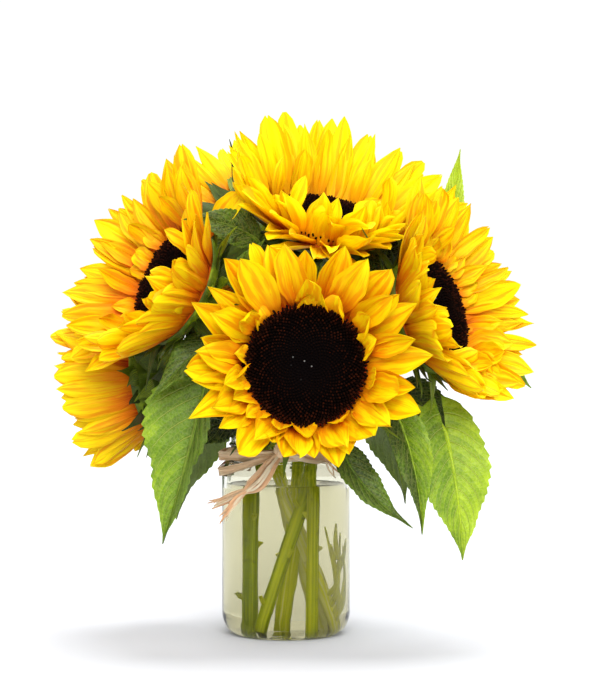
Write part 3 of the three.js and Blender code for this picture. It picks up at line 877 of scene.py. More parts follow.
class GrowthTree:
    """A geometry tree with named inputs, run once on a carrier whose result becomes a plain mesh."""

    def __init__(self, name: str, inputs: dict[str, object]) -> None:
        """Makes the tree's outer sockets.

        Args:
            name: Name of the tree.
            inputs: The value of each named input, after the carrier's geometry.
        """
        self.tree = bpy.data.node_groups.new(name, "GeometryNodeTree")
        self.tree.is_modifier = True
        self.bench = NodeBench(self.tree)
        self.values: dict[str, object] = {}
        self.tree.interface.new_socket("Geometry", in_out="INPUT", socket_type="NodeSocketGeometry")
        for label, value in inputs.items():
            kind = next(kind for sort, kind in SOCKET_KINDS if isinstance(value, sort))
            socket = self.tree.interface.new_socket(label, in_out="INPUT", socket_type=kind)
            self.values[socket.identifier] = value
        self.tree.interface.new_socket("Geometry", in_out="OUTPUT", socket_type="NodeSocketGeometry")
        self.entry = self.bench.node("NodeGroupInput")

    def given(self, name: str) -> Socket:
        """The inner end of a named input."""
        return self.entry.outputs[name]

    def shape(self, name: str) -> Socket:
        """The mesh of the object that a named input holds."""
        return self.bench.node("GeometryNodeObjectInfo", {0: self.given(name)}).outputs["Geometry"]

    def random(self, low: object, high: object, draw: int) -> Socket:
        """A random number for each point or instance, fixed by the tree's seed and the number of the draw."""
        inputs = {2: low, 3: high, "Seed": self.bench.plus(self.given("Seed"), float(draw))}
        return self.bench.node("FunctionNodeRandomValue", inputs, data_type="FLOAT").outputs[1]

    def store(self, geometry: object, name: str, value: object) -> Socket:
        """Keeps a number on each point under a name."""
        inputs = {"Geometry": geometry, "Name": name, "Value": value}
        return self.bench.node("GeometryNodeStoreNamedAttribute", inputs, data_type="FLOAT").outputs[0]

    def scatter(self, density: str, shape: str, scale: Socket, chosen: object = True, turned: bool = False) -> None:
        """Ends the tree with a shape strewn over the carrier's faces.

        Args:
            density: The input that says how many there are to a square metre.
            shape: The input that holds the shape.
            scale: Its size, as a vector.
            chosen: Which faces carry it.
            turned: Whether each copy stands on its face, and not upright.
        """
        inputs = {"Mesh": self.given("Geometry"), "Selection": chosen, "Density": self.given(density),
                  "Seed": self.given("Seed")}
        spread = self.bench.node("GeometryNodeDistributePointsOnFaces", inputs, distribute_method="RANDOM")
        inputs = {"Points": spread.outputs["Points"], "Instance": self.shape(shape), "Scale": scale}
        if turned:
            inputs["Rotation"] = spread.outputs["Rotation"]
        self.close(self.bench.node("GeometryNodeInstanceOnPoints", inputs).outputs[0])

    def close(self, instances: object) -> None:
        """Ends the tree: copies made real, then given their material.

        Args:
            instances: The copies.
        """
        real = self.bench.node("GeometryNodeRealizeInstances", {0: instances}).outputs[0]
        smooth = self.bench.node("GeometryNodeSetShadeSmooth", {"Geometry": real}).outputs[0]
        inputs = {"Geometry": smooth, "Material": self.given("Material")}
        dressed = self.bench.node("GeometryNodeSetMaterial", inputs).outputs[0]
        self.bench.node("NodeGroupOutput", {0: dressed})

    def grow(self, carrier: Object) -> None:
        """Runs the tree on a carrier and leaves the result as its plain mesh.

        Args:
            carrier: The object whose mesh it starts from.
        """
        modifier = carrier.modifiers.new(self.tree.name, "NODES")
        modifier.node_group = self.tree
        for identifier, value in self.values.items():
            modifier[identifier] = value
        shown = carrier.evaluated_get(bpy.context.evaluated_depsgraph_get())
        mesh = bpy.data.meshes.new_from_object(shown)
        carrier.modifiers.remove(modifier)
        carrier.data = mesh
        mesh.name = carrier.name


def helper(name: str, solid: Solid) -> Object:
    """A small shape that a tree repeats; it is taken away once the tree has run.

    Args:
        name: Its name.
        solid: The shape.

    Returns:
        The object, hidden from the render.
    """
    maker = MeshMaker()
    maker.add(solid)
    made = maker.build(name, bpy.data.materials.get("Helper") or bpy.data.materials.new("Helper"))
    made.hide_render = True
    return made


def discard(item: Object) -> None:
    """Takes a helper away."""
    bpy.data.objects.remove(item)


# Flowers


@dataclass(frozen=True)
class BladeShape:
    """A petal or sepal in its head's frame: an arc that rises from the root, swayed to one side and twisted."""

    angle: float
    root_radius: float
    root_z: float
    cup: float
    curl: float
    length: float
    width: float
    sway: float
    twist: float
    hollow: float

    def sides(self) -> tuple[Array, Array]:
        """The directions outward from the head's middle and round it, at the blade's root."""
        x, y = math.cos(self.angle), math.sin(self.angle)
        return np.array([x, y, 0.0]), np.array([-y, x, 0.0])

    def spine(self, s: Array) -> Array:
        """Points of the middle line.

        Args:
            s: Shares of the blade's length.

        Returns:
            One row a share, in the head's frame.
        """
        outward, sideways = self.sides()
        rise = self.cup + self.curl * s
        out = self.length * (np.sin(rise) - math.sin(self.cup)) / self.curl
        up = self.length * (math.cos(self.cup) - np.cos(rise)) / self.curl
        return (
            outward * (self.root_radius + out)[:, None]
            + UP * (self.root_z + up)[:, None]
            + sideways * (self.sway * self.length * s**2)[:, None]
        )

    def frames(self, s: Array) -> tuple[Array, Array]:
        """The directions across the blade and out of its upper face.

        Args:
            s: Shares of the blade's length.

        Returns:
            Both directions, one row a share.
        """
        outward, sideways = self.sides()
        rise = (self.cup + self.curl * s)[:, None]
        inward = UP * np.cos(rise) - outward * np.sin(rise)
        turn = (self.twist * s)[:, None]
        return sideways * np.cos(turn) + inward * np.sin(turn), inward * np.cos(turn) - sideways * np.sin(turn)

    def ways(self) -> Iterator["BladeShape"]:
        """The ways in which the blade may have been bent clear of its neighbours, likeliest first.

        Returns:
            The bent blades, one after another.
        """
        bends = (0, 5, -5, 10, -10, 15, -15, 22, -22, 30, -30, 40, -40)
        turns = (0, 4, -4, 8, -8)
        tries = [(1.0, bend, turn) for bend in bends for turn in turns]
        tries += [(share, bend, turn) for share in (0.84, 0.68, 0.52) for bend in bends for turn in turns]
        for share, bend, turn in tries:
            yield replace(self, cup=self.cup + radians(bend), angle=self.angle + radians(turn),
                          length=self.length * share)


@dataclass(frozen=True)
class Layer:
    """One layer of petals on every head."""

    count: int
    cup: float
    curl: float
    length: float
    width: float
    root_z: float


LAYERS = (
    Layer(14, 37, 10, 1, 1, -1.5),
    Layer(13, 48, 4, 0.95, 0.98, 0),
    Layer(7, 63, 22, 0.62, 0.76, 1.3),
)
INNER_LAYER = 2
PETAL_ROOT_RADIUS = 35.5
PETAL_ROOT_Z = -3.5
PETAL_WIDTH = 17
SEPAL_COUNT = 11
MOST_TURN = radians(62)

SEPAL_NUMBER = 100
FILLER_NUMBER = 200
STEM_NUMBER = 300
ROLLED_NUMBER = 300
BRACT_NUMBER = 340
STUB_NUMBER = 360
LEAF_NUMBER = 400
TONE_USE = 30

STEM_RADIUS = 3.7
STEM_FOOT_Z = 4.3
STEM_NECK_Z = 112.0
STEM_RIM_Z = 134.0
STEM_BEND_BEHIND = 44.0
STEM_END_BEHIND = 24.0


@dataclass(frozen=True)
class Bloom:
    """A flower: its head's place and the way it looks, its petals, and its stem's foot and neck.

    The outer petals close by cup, and by lean more towards lean_to. The inner ones do so by inner and inner_lean.
    Short is how much shorter the petals are on that side. The rolled ones at the disc's rim are longer by screen
    towards screen_to. Filled counts the extra petals between neighbours of each outer layer, which stand open by
    opened degrees. Broad is the petals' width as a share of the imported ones'.
    """

    name: str
    plant: int
    at: Triple
    turn: float
    rise: float
    petal: float
    cup: float
    lean: float
    inner: float
    inner_lean: float
    lean_to: float
    short: float
    foot: tuple[float, float]
    neck: tuple[float, float]
    # The stem's tone inside the jar, partly its own and partly painted light that brightens it.
    stem_tone: float = 0.5
    screen: float = 4.0
    screen_to: float = -90.0
    filled: tuple[int, int] = (2, 1)
    opened: float = 0.0
    broad: float = 0.94

    def axes(self) -> Array:
        """The head's axes.

        Returns:
            Rows: its side, its upward edge, and out of its face.
        """
        t, e = radians(self.turn), radians(self.rise)
        face = np.array([math.cos(e) * math.sin(t), -math.cos(e) * math.cos(t), math.sin(e)])
        side = unit(np.cross(UP, face))
        return np.array([side, np.cross(face, side), face])

    def to_bunch(self, points: Array) -> Array:
        """Points of the head's frame in the bunch's frame."""
        return points @ self.axes() + np.array(self.at)

    def put(self, solid: Solid) -> Solid:
        """A solid of the head's frame in the bunch's frame."""
        return solid.placed(self.axes(), self.at)

    def layer_shapes(self) -> list[list[BladeShape]]:
        """Every petal of the three layers, before it is bent clear of its neighbours.

        Returns:
            A list of petals for each layer.
        """
        layers, n = [], 0
        for k, layer in enumerate(LAYERS):
            cup, most = (self.inner, self.inner_lean) if k == INNER_LAYER else (self.cup, self.lean)
            shapes = []
            for i in range(layer.count):
                j = traits(self.plant, n, range(9))
                angle = (2 * math.pi / layer.count) * (i + 0.37 * k + 0.16 * j[1])
                towards = math.cos(angle - radians(self.lean_to))
                shorter = 1 - self.short * max(0.0, towards) ** 2
                shapes.append(BladeShape(
                    angle=angle,
                    root_radius=PETAL_ROOT_RADIUS,
                    root_z=PETAL_ROOT_Z + layer.root_z,
                    cup=radians(layer.cup + cup + most * towards + 5 * j[2]),
                    curl=radians(layer.curl + 13 * j[3] + 0.01),
                    length=self.petal * layer.length * shorter * (1 + 0.1 * j[4]),
                    width=PETAL_WIDTH * layer.width * (1 + 0.1 * j[5]),
                    sway=0.1 * j[6],
                    twist=radians(24 * j[7]),
                    hollow=0.32 + 0.16 * j[8],
                ))
                n += 1
            layers.append(shapes)
        return layers

    def sepal_shapes(self) -> list[BladeShape]:
        """The sepals, before they are bent clear of their neighbours.

        Returns:
            The sepals round the head.
        """
        shapes = []
        for i in range(SEPAL_COUNT):
            j = traits(self.plant, SEPAL_NUMBER + i, range(9))
            odd = i % 2 == 1
            shapes.append(BladeShape(
                angle=(2 * math.pi / SEPAL_COUNT) * (i + 0.25 * j[1]),
                root_radius=33.5,
                root_z=-10,
                cup=radians(14 if odd else -8) + radians(7 * j[2]),
                curl=radians((6 if odd else -20) + 16 * j[3] + 0.01),
                length=31 * (1 + 0.18 * j[4]),
                width=10 * (1 + 0.12 * j[5]),
                sway=0.16 * j[6],
                twist=radians(20 * j[7]),
                hollow=0.25,
            ))
        return shapes

    def as_packed(self, shape: BladeShape, node: str) -> BladeShape | None:
        """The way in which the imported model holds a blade.

        Args:
            shape: The blade before it was bent.
            node: The CAD node that it is in.

        Returns:
            The bent blade, or None where the node has no such blade.
        """
        corners = corners_of(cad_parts[node].data)
        for way in shape.ways():
            tip = self.to_bunch(way.spine(np.array([1.0])))[0]
            if np.min(np.linalg.norm(corners - tip, axis=1)) < MATCH_DISTANCE:
                return way
        return None

    def stem_points(self) -> Array:
        """The points that the stem's line passes, from its foot to the back of the head.

        Returns:
            One row a point, in the bunch's frame.
        """
        foot = np.array([*self.foot, STEM_FOOT_Z])
        neck = np.array([*self.neck, STEM_NECK_Z])
        foot[2] += STEM_RADIUS * np.linalg.norm(neck[:2] - foot[:2]) / (neck[2] - foot[2])
        rim = lerp(foot, neck, 1 + (STEM_RIM_Z - neck[2]) / (neck[2] - foot[2]))
        behind, head = self.to_bunch(np.array([[0, 0, -STEM_BEND_BEHIND], [0, 0, -STEM_END_BEHIND]]))
        return np.array([foot, lerp(foot, neck, 0.5), neck, rim, lerp(rim, behind, 0.5), behind, head])

    def stem_at_height(self, height: float) -> Array:
        """The point of the rising stem at a height.

        Args:
            height: The height in millimetres.

        Returns:
            The point in the bunch's frame.
        """
        low, high, halvings = 0.0, 1.0, 30
        for _ in range(halvings):
            middle = (low + high) / 2
            if catmull_rom(self.stem_points(), [middle])[0, 2] < height:
                low = middle
            else:
                high = middle
        return catmull_rom(self.stem_points(), [high])[0]


class PetalTip(Enum):
    """How a petal ends, as stops of its half width along it."""

    POINTED = ((0, 0.44), (0.12, 0.66), (0.34, 0.96), (0.56, 1.0), (0.76, 0.85), (0.89, 0.5), (0.96, 0.22), (1, 0.03))
    DRAWN = (
        (0, 0.5), (0.14, 0.72), (0.34, 0.97), (0.5, 1.0), (0.66, 0.85), (0.8, 0.54), (0.9, 0.26), (0.96, 0.1),
        (1, 0.02),
    )
    BLUNT = ((0, 0.44), (0.12, 0.66), (0.34, 0.96), (0.6, 1.02), (0.8, 0.9), (0.91, 0.66), (0.97, 0.4), (1, 0.14))


@dataclass
class PetalRing:
    """All the ray petals of one head, with the ring that they grow from.

    A petal that shows its edge to the front, by edge_on or more where it is looked at, is turned to face it: wholly
    from edge_range further on.
    """

    bloom: Bloom
    finish: Material
    rows: int = 14
    columns: int = 11
    thickness: float = 0.45
    rolled_count: int = 15
    pleat_depth: float = 0.65
    wave_height: float = 1.0
    tip_curl: float = 3.6
    notch_depth: float = 0.05
    edge_on: float = 0.45
    edge_range: float = 0.3
    looked_at: float = 0.6

    def turned(self, shape: BladeShape) -> float:
        """The twist of a blade, more where it would show only its edge to the front.

        Args:
            shape: The blade.

        Returns:
            The twist from its root to its tip.
        """
        way = self.bloom.axes() @ np.array([0.0, -1.0, 0.0])
        across, up = (row[0] @ way for row in replace(shape, twist=0.0).frames(np.array([self.looked_at])))
        if abs(across) < self.edge_on:
            return shape.twist
        needed = math.atan(-across / (up if abs(up) > 0.05 else 0.05))
        share = min(1.0, (abs(across) - self.edge_on) / self.edge_range)
        return 0.4 * shape.twist + float(np.clip(needed, -MOST_TURN, MOST_TURN)) * share

    def petal(self, shape: BladeShape, number: int) -> Solid:
        """A petal's closed blade in the head's frame.

        Args:
            shape: The petal's line and width.
            number: Its number on the head, for its own traits.

        Returns:
            The blade, trough-shaped, pleated lengthwise and wavy at its edges.
        """
        j = traits(self.bloom.plant, number, range(20, 32))
        s = np.linspace(-0.05, 1, self.rows)
        t = np.linspace(-1, 1, self.columns)
        grown = np.clip(s, 0, 1)
        tip = PetalTip.BLUNT if j[0] > 0.4 else PetalTip.DRAWN if j[0] > -0.1 else PetalTip.POINTED
        half = self.bloom.broad * shape.width / 2 * profile_at(tip.value, grown)
        half = half * (1 + 0.05 * np.sin(2 * np.pi * (2.6 * s + j[1])))
        hollow = (shape.hollow + 0.4 * max(0.0, j[2])) * half * np.clip(grown / 0.3, 0, 1)
        lift = np.outer(hollow, np.abs(t) ** (1.5 + 0.5 * j[10]))
        pleat = self.pleat_depth * np.sin(np.pi * grown) ** 0.6 * (shape.width / PETAL_WIDTH)
        lift = lift - np.outer(pleat, np.cos(3 * np.pi * (t + 0.1 * j[7])) * (1 - 0.6 * t**2))
        wave = np.sin(2 * np.pi * ((1.3 + 0.5 * j[8]) * s[:, None] + j[3] + 0.22 * np.sign(t)[None, :]))
        lift = lift + self.wave_height * (1 + 0.75 * j[4]) * wave * (t**2)[None, :] * grown[:, None]
        curled = np.clip((s - 0.5) / 0.5, 0, 1) ** 2
        lift = lift + (self.tip_curl * j[5] * curled)[:, None]
        across, up = replace(shape, twist=self.turned(shape)).frames(s)
        notch = self.notch_depth * max(0.0, j[6]) * np.clip((s - 0.8) / 0.2, 0, 1)
        notch = np.outer(notch, np.exp(-((t / 0.4) ** 2)))
        along = unit(np.gradient(shape.spine(s), axis=0))
        skewed = t + 0.2 * j[9] * (1 - t**2)
        aside = 0.06 * j[11] * shape.length * grown**3
        grid = (
            shape.spine(s)[:, None]
            + across[:, None] * (np.outer(half, skewed) + aside[:, None])[..., None]
            + up[:, None] * lift[..., None]
            - along[:, None] * (notch * shape.length)[..., None]
        )
        return shell(grid, self.thickness)

    def fillers(self, shapes: list[BladeShape], between: int) -> list[BladeShape]:
        """Narrower petals that stand between neighbours of a layer and follow the way those are bent.

        Args:
            shapes: The petals of the layer.
            between: How many stand between two neighbours.

        Returns:
            The extra petals.
        """
        made = []
        ordered = sorted(shapes, key=lambda shape: shape.angle)
        for i, (a, b) in enumerate(zip(ordered, ordered[1:] + ordered[:1])):
            gap = (b.angle - a.angle) % (2 * math.pi)
            if gap > radians(56) or abs(a.cup - b.cup) > radians(40):
                continue
            for k in range(between):
                j = traits(self.bloom.plant, FILLER_NUMBER + 3 * i + k, range(1, 8))
                share = (k + 1) / (between + 1)
                made.append(BladeShape(
                    angle=a.angle + gap * (share + 0.06 * j[0]),
                    root_radius=a.root_radius,
                    root_z=lerp(a.root_z, b.root_z, share) + 0.5 + 0.5 * k,
                    cup=lerp(a.cup, b.cup, share) + radians(3 + 5 * j[1] - self.bloom.opened),
                    curl=lerp(a.curl, b.curl, share) + radians(9 * j[2] + 0.01),
                    length=lerp(a.length, b.length, share) * (0.92 + 0.08 * j[3]),
                    width=lerp(a.width, b.width, share) * (0.74 + 0.1 * j[4]),
                    sway=0.08 * j[5],
                    twist=radians(26 * j[6]),
                    hollow=0.42,
                ))
        return made

    def rolled(self) -> list[BladeShape]:
        """Short petals that stand at the disc's rim, longer and denser on the side where they hide the disc.

        Returns:
            The short petals.
        """
        made, bloom = [], self.bloom
        count = self.rolled_count + round(bloom.screen)
        for i in range(count):
            j = traits(bloom.plant, ROLLED_NUMBER + i, range(1, 9))
            angle = 2 * math.pi * (i + 0.3 * j[0]) / count
            grown = bloom.screen * max(0.0, math.cos(angle - radians(bloom.screen_to)))
            if j[1] > 0.3 - 0.02 * bloom.screen + 0.12 * grown:
                continue
            made.append(BladeShape(
                angle=angle,
                root_radius=PETAL_ROOT_RADIUS - 1.2,
                root_z=PETAL_ROOT_Z + 1.6,
                cup=radians(54 + 13 * j[2] + grown),
                curl=radians(34 * j[3] + 0.01),
                length=16 + 3.5 * j[4] + grown,
                width=12.5 + 2 * j[5] + 0.3 * grown,
                sway=0.25 * j[6],
                twist=radians(40 * j[7]),
                hollow=0.5,
            ))
        return made

    def root_ring(self) -> Solid:
        """The ring under the disc's edge.

        Returns:
            The ring in the head's frame.
        """
        radius, height, thickness = 34.6, -4.9, 1.3
        angle = np.linspace(0, 2 * np.pi, 73)
        solid = tube(around(angle, radius, height), np.full(len(angle), thickness), 8)
        for corners in solid.corners:
            corners[..., 0] = 0
        return solid

    def build(self) -> None:
        """Makes the petals of the head as one piece."""
        bloom, maker = self.bloom, MeshMaker()
        node = f"bloom_{bloom.name}_rays"
        # The ring takes the deepest root colour, which is partly painted shade.
        maker.add(bloom.put(self.root_ring()), 0.0)
        number, missing = 0, 0
        for k, layer in enumerate(bloom.layer_shapes()):
            packed = []
            for shape in layer:
                found = bloom.as_packed(shape, node)
                missing += found is None
                if found is not None:
                    packed.append(found)
                    tone = 0.5 + 0.5 * jitter(bloom.plant, number, TONE_USE)
                    maker.add(bloom.put(self.petal(found, number)), tone)
                number += 1
            if k != INNER_LAYER:
                for i, shape in enumerate(self.fillers(packed, bloom.filled[k])):
                    extra = FILLER_NUMBER + 40 * k + i
                    # Painted shade: the fillers, in the gaps between petals, take a slightly lower tone than the
                    # others.
                    tone = 0.45 + 0.5 * jitter(bloom.plant, extra, TONE_USE)
                    maker.add(bloom.put(self.petal(shape, extra)), tone)
        for i, shape in enumerate(self.rolled()):
            tone = 0.4 + 0.4 * jitter(bloom.plant, ROLLED_NUMBER + i, TONE_USE)
            maker.add(bloom.put(self.petal(shape, ROLLED_NUMBER + i)), tone)
        log.info("%s: %d petals left out of the packed model", bloom.name, missing)
        finish_piece(maker.build(f"bloom_{bloom.name}_petals", self.finish), Slot.PETAL, node)


@dataclass
class SeedDisc:
    """The dark disc of one head: a dome set with florets along the golden angle."""

    bloom: Bloom
    finish: Material
    radius: float = 33.0
    floret_radius: float = 35.2
    dome: float = 5.0
    dimple: float = 3.5
    dimple_radius: float = 9.0
    seat: float = -6.0
    florets: int = 1300
    floret_width: float = 1.62
    floret_height: float = 1.7
    floret_sides: int = 5
    bed_depth: float = 0.9

    def dome_solid(self) -> Solid:
        """The dark bed under the florets.

        Returns:
            The bed in the head's frame.
        """
        r = np.linspace(0, self.radius, 14)
        dip = self.dimple * np.exp(-((r / self.dimple_radius) ** 2))
        z = self.dome * (1 - (r / self.radius) ** 2) - dip - self.bed_depth
        outline = [(0.0, self.seat), (self.radius, self.seat)] + list(zip(r[::-1], z[::-1]))
        return lathe(np.array(outline), 48)

    def floret(self) -> Solid:
        """One floret of unit size: a five-sided tube that opens at the top round a low middle.

        Returns:
            The floret, standing round the origin.
        """
        rings, sides = np.array([(0.4, -0.5), (0.46, 0.7), (0.3, 1.0)]), self.floret_sides
        points = around(steps_round(sides), rings[:, :1], rings[:, 1:]).reshape(-1, 3)
        solid = closed_rings(points, len(rings), sides, [0, 0, -0.5], [0, 0, 0.7])
        return replace(solid, side=np.clip(solid.points[:, 2], 0, 1))

    def tree(self, floret: Object) -> GrowthTree:
        """The tree that lays the florets out on their spiral.

        Args:
            floret: The shape that it repeats.

        Returns:
            The tree, ready to grow.
        """
        grown = GrowthTree("FloretSpiral", {
            "Florets": self.florets,
            "Floret Radius": self.floret_radius * MM,
            "Dome Height": self.dome * MM,
            "Dimple Depth": self.dimple * MM,
            "Dimple Radius": self.dimple_radius * MM,
            "Golden Angle": GOLDEN_ANGLE,
            "Floret Width": self.floret_width,
            "Floret Height": self.floret_height,
            "Seed": 11 + self.bloom.plant,
            "Floret": floret,
            "Material": self.finish,
        })
        bench, given = grown.bench, grown.given
        index = bench.node("GeometryNodeInputIndex").outputs[0]
        filled = bench.math("DIVIDE", bench.plus(index, 0.6), given("Florets"))
        share = bench.math("SQRT", filled)
        turn = bench.times(index, given("Golden Angle"))
        reach = bench.times(share, given("Floret Radius"))
        fallen = bench.times(given("Dome Height"), bench.minus(1.0, filled))
        from_middle = bench.math("POWER", bench.math("DIVIDE", reach, given("Dimple Radius")), 2.0)
        dip = bench.times(given("Dimple Depth"), bench.math("EXPONENT", bench.times(from_middle, -1.0)))
        height = bench.plus(bench.minus(fallen, dip), grown.random(-0.00035, 0.00035, 3))
        x, y = (bench.times(reach, bench.math(way, turn)) for way in ("COSINE", "SINE"))
        inputs = {"Count": given("Florets"), "Position": bench.vector(x, y, height)}
        kept = grown.store(bench.node("GeometryNodePoints", inputs).outputs[0], "Share", share)
        kept = grown.store(kept, "Pick", grown.random(0.0, 1.0, 5))
        lean = bench.times(bench.math("POWER", share, 5.0), 0.75)
        tilt = bench.vector(grown.random(-0.16, 0.16, 7), bench.plus(lean, grown.random(-0.16, 0.16, 8)), turn)
        rotation = bench.node("FunctionNodeEulerToRotation", {0: tilt}).outputs[0]
        taller = bench.plus(0.55, bench.times(bench.math("POWER", share, 4.0), 1.15))
        tall = bench.times(bench.times(given("Floret Height"), taller), grown.random(0.75, 1.25, 9))
        wide = bench.times(given("Floret Width"), bench.plus(0.7, bench.times(share, 0.35)))
        inputs = {"Points": kept, "Instance": grown.shape("Floret"), "Rotation": rotation,
                  "Scale": bench.vector(wide, wide, tall)}
        copies = bench.node("GeometryNodeInstanceOnPoints", inputs).outputs[0]
        joined = bench.node("GeometryNodeJoinGeometry", {0: copies})
        grown.tree.links.new(given("Geometry"), joined.inputs[0])
        grown.close(joined.outputs[0])
        return grown

    def build(self) -> None:
        """Makes the disc and turns it into its head's place."""
        maker = MeshMaker()
        maker.add(self.dome_solid(), 0.0)
        piece = maker.build(f"bloom_{self.bloom.name}_seed_disc", self.finish)
        floret = helper("floret", self.floret())
        self.tree(floret).grow(piece)
        discard(floret)
        mesh = piece.data
        placed = self.bloom.to_bunch(corners_of(mesh)) * MM
        mesh.vertices.foreach_set("co", placed.astype(np.float32).ravel())
        mesh.update()
        finish_piece(piece, Slot.DISC, f"bloom_{self.bloom.name}_disc")


@dataclass(frozen=True)
class BractRow:
    """A row of bracts: how many, where they start, their size, and how far they lean in, stray and curl."""

    count: int
    root_radius: float
    root_z: float
    length: float
    width: float
    cup: float
    loose: float = 3.0
    curled: float = 9.0


BRACT_ROWS = (
    BractRow(15, 34.0, -9.0, 19, 9.5, 24, 9, 28),
    BractRow(12, 26.5, -16.2, 23, 11, 9),
    BractRow(9, 15.5, -19.6, 17, 10, 4),
)


@dataclass
class StemAndCup:
    """One stem with the cup behind its disc, the sepals and the small bracts that cover the cup."""

    bloom: Bloom
    finish: Material
    bristles: Material
    shoot: tuple[tuple[Point, ...], ...] = ()
    sides: int = 27
    uneven: float = 0.02
    ridge: float = 0.035
    swelling: float = 0.35
    # The height below which the stem is painted brighter, and the stem's tone above it.
    painted_light_height: float = 108.0
    upper_tone: float = 0.4
    cut_tone: float = 0.85
    cup_tone: float = 0.24
    shoot_tone: float = 0.93
    cup_sides: int = 56
    cup_ribs: int = 14
    cup_relief: float = 0.35
    sepal_thickness: float = 0.7
    stubs: int = 3
    stub_low: float = 26.0
    stub_apart: float = 24.0

    def stub(self, i: int) -> Solid:
        """The short stub of a side shoot that was cut off, between the jar's floor and its neck.

        Args:
            i: Its number, from below.

        Returns:
            The stub in the bunch's frame.
        """
        j = traits(self.bloom.plant, STUB_NUMBER + i, range(1, 5))
        foot = self.bloom.stem_at_height(self.stub_low + self.stub_apart * i + 8 * j[0])
        turn = math.pi * j[1]
        way = unit(np.array([math.cos(turn), math.sin(turn), 0.9 + 0.4 * j[2]]))
        reach = STEM_RADIUS + 3.4 + 1.6 * j[3]
        path = np.array([foot, foot + way * 0.6 * reach, foot + way * reach + UP * 0.8])
        return tube(catmull_rom(path, np.linspace(0, 1, 7)), np.linspace(1.9, 1.2, 7), 10)

    def stem(self) -> tuple[Solid, Array]:
        """The stem, ribbed, slightly uneven, and thicker where it joins the cup.

        Returns:
            The stem in the bunch's frame, and the tone of each point.
        """
        steps = np.linspace(0, 1, 90)
        path = catmull_rom(self.bloom.stem_points(), steps)
        j = traits(self.bloom.plant, STEM_NUMBER, range(2))
        slow, quick = (np.sin(2 * np.pi * (turns * steps + start)) for turns, start in ((3.2, j[0]), (7.7, j[1])))
        thicker = self.swelling * np.clip((steps - 0.9) / 0.1, 0, 1) ** 2
        radius = STEM_RADIUS * (0.96 + self.uneven * (slow + 0.75 * quick) + thicker)
        solid = tube(path, radius, self.sides, STEM_RIBS, self.ridge)
        # Painted light: inside the jar the stem takes its own brighter tone, which stands in for the light that the
        # glass and water hold back.
        painted_light_share = 1 / (1 + np.exp((path[:, 2] - self.painted_light_height) / 6))
        tone = np.repeat(self.bloom.stem_tone * painted_light_share + self.upper_tone * (1 - painted_light_share), self.sides)
        return solid, np.concatenate([tone, [self.cut_tone, self.upper_tone]])

    def cup(self) -> Solid:
        """The green cup, with shallow ribs.

        Returns:
            The cup in the head's frame.
        """
        outside = [(0, -30), (4.3, -30), (6.2, -24), (12, -20), (21, -17), (31, -13.6), (36.2, -10.4), (37.3, -6.4)]
        inside = [(36.9, -4.6), (35.6, -5.2), (33, -6.4), (0, -6.4)]
        profile = rounded(outside + inside, 1.6)
        angle = steps_round(self.cup_sides)
        swell = self.cup_relief * np.cos(self.cup_ribs * angle)[None, :] * (profile[:, :1] / 37)
        return lathe(profile, self.cup_sides, swell)

    def sepal(self, shape: BladeShape, number: int, rows: int = 14) -> Solid:
        """A sepal or bract: broad at its root, drawn out to a long curled tip.

        Args:
            shape: Its line and width.
            number: Its number on the head, for its own traits.
            rows: Steps along it.

        Returns:
            The blade in the head's frame.
        """
        j = traits(self.bloom.plant, number, range(20, 26))
        s = np.linspace(0, 1, rows)
        t = np.linspace(-1, 1, 7)
        stops = ((0, 0.94), (0.16, 1.0), (0.4, 0.74), (0.62, 0.4), (0.8, 0.17), (1, 0.03))
        half = shape.width / 2 * profile_at(stops, s)
        lift = np.outer(shape.hollow * half * np.clip(s / 0.3, 0, 1), np.abs(t) ** 1.5)
        lift = lift - np.outer(0.3 * (1 - s), np.cos(2 * np.pi * t))
        lift = lift + (0.7 * j[0] * s**2)[:, None] * np.sin(2 * np.pi * (s[:, None] * 1.4 + j[1])) * t[None, :] ** 2
        across, up = shape.frames(s)
        curl = 3.2 * j[2] * np.clip((s - 0.6) / 0.4, 0, 1) ** 2
        grid = (
            shape.spine(s)[:, None]
            + across[:, None] * np.outer(half, t)[..., None]
            + up[:, None] * (lift + curl[:, None])[..., None]
        )
        return shell(grid, self.sepal_thickness)

    def bracts(self) -> list[BladeShape]:
        """Three rows of bracts: over the petals' roots at the rim, and shorter ones that lie on the cup.

        Returns:
            The bracts, row by row.
        """
        made = []
        for k, row in enumerate(BRACT_ROWS):
            for i in range(row.count):
                j = traits(self.bloom.plant, BRACT_NUMBER + 20 * k + i, range(1, 7))
                made.append(BladeShape(
                    angle=2 * math.pi * (i + 0.5 * k + 0.2 * j[0]) / row.count,
                    root_radius=row.root_radius,
                    root_z=row.root_z,
                    cup=radians(row.cup + row.loose * j[1]),
                    curl=radians(7 + row.curled * j[2] + 0.01),
                    length=row.length * (1 + 0.14 * j[3]),
                    width=row.width * (1 + 0.1 * j[4]),
                    sway=0.1 * j[5],
                    twist=0.0,
                    hollow=-0.12,
                ))
        return made

    def bristle_tree(self, bristle: Object) -> GrowthTree:
        """The tree that sets bristles over the stem and cup.

        Args:
            bristle: The shape that it repeats.

        Returns:
            The tree, ready to grow.
        """
        grown = GrowthTree("BristleCoat", {
            "Bristles per Area": 115000.0,
            "Bristle Length": 0.9,
            "Water Height": 0.098,
            "Seed": 31 + self.bloom.plant,
            "Bristle": bristle,
            "Material": self.bristles,
        })
        bench, place = grown.bench, grown.bench.node("GeometryNodeInputPosition").outputs[0]
        height = bench.node("ShaderNodeSeparateXYZ", {0: place}).outputs[2]
        dry = bench.node("FunctionNodeCompare", {0: height, 1: grown.given("Water Height")},
                         data_type="FLOAT", operation="GREATER_THAN").outputs[0]
        reach = bench.times(grown.given("Bristle Length"), grown.random(0.4, 1.3, 4))
        grown.scatter("Bristles per Area", "Bristle", bench.vector(1.0, 1.0, reach), dry, turned=True)
        return grown

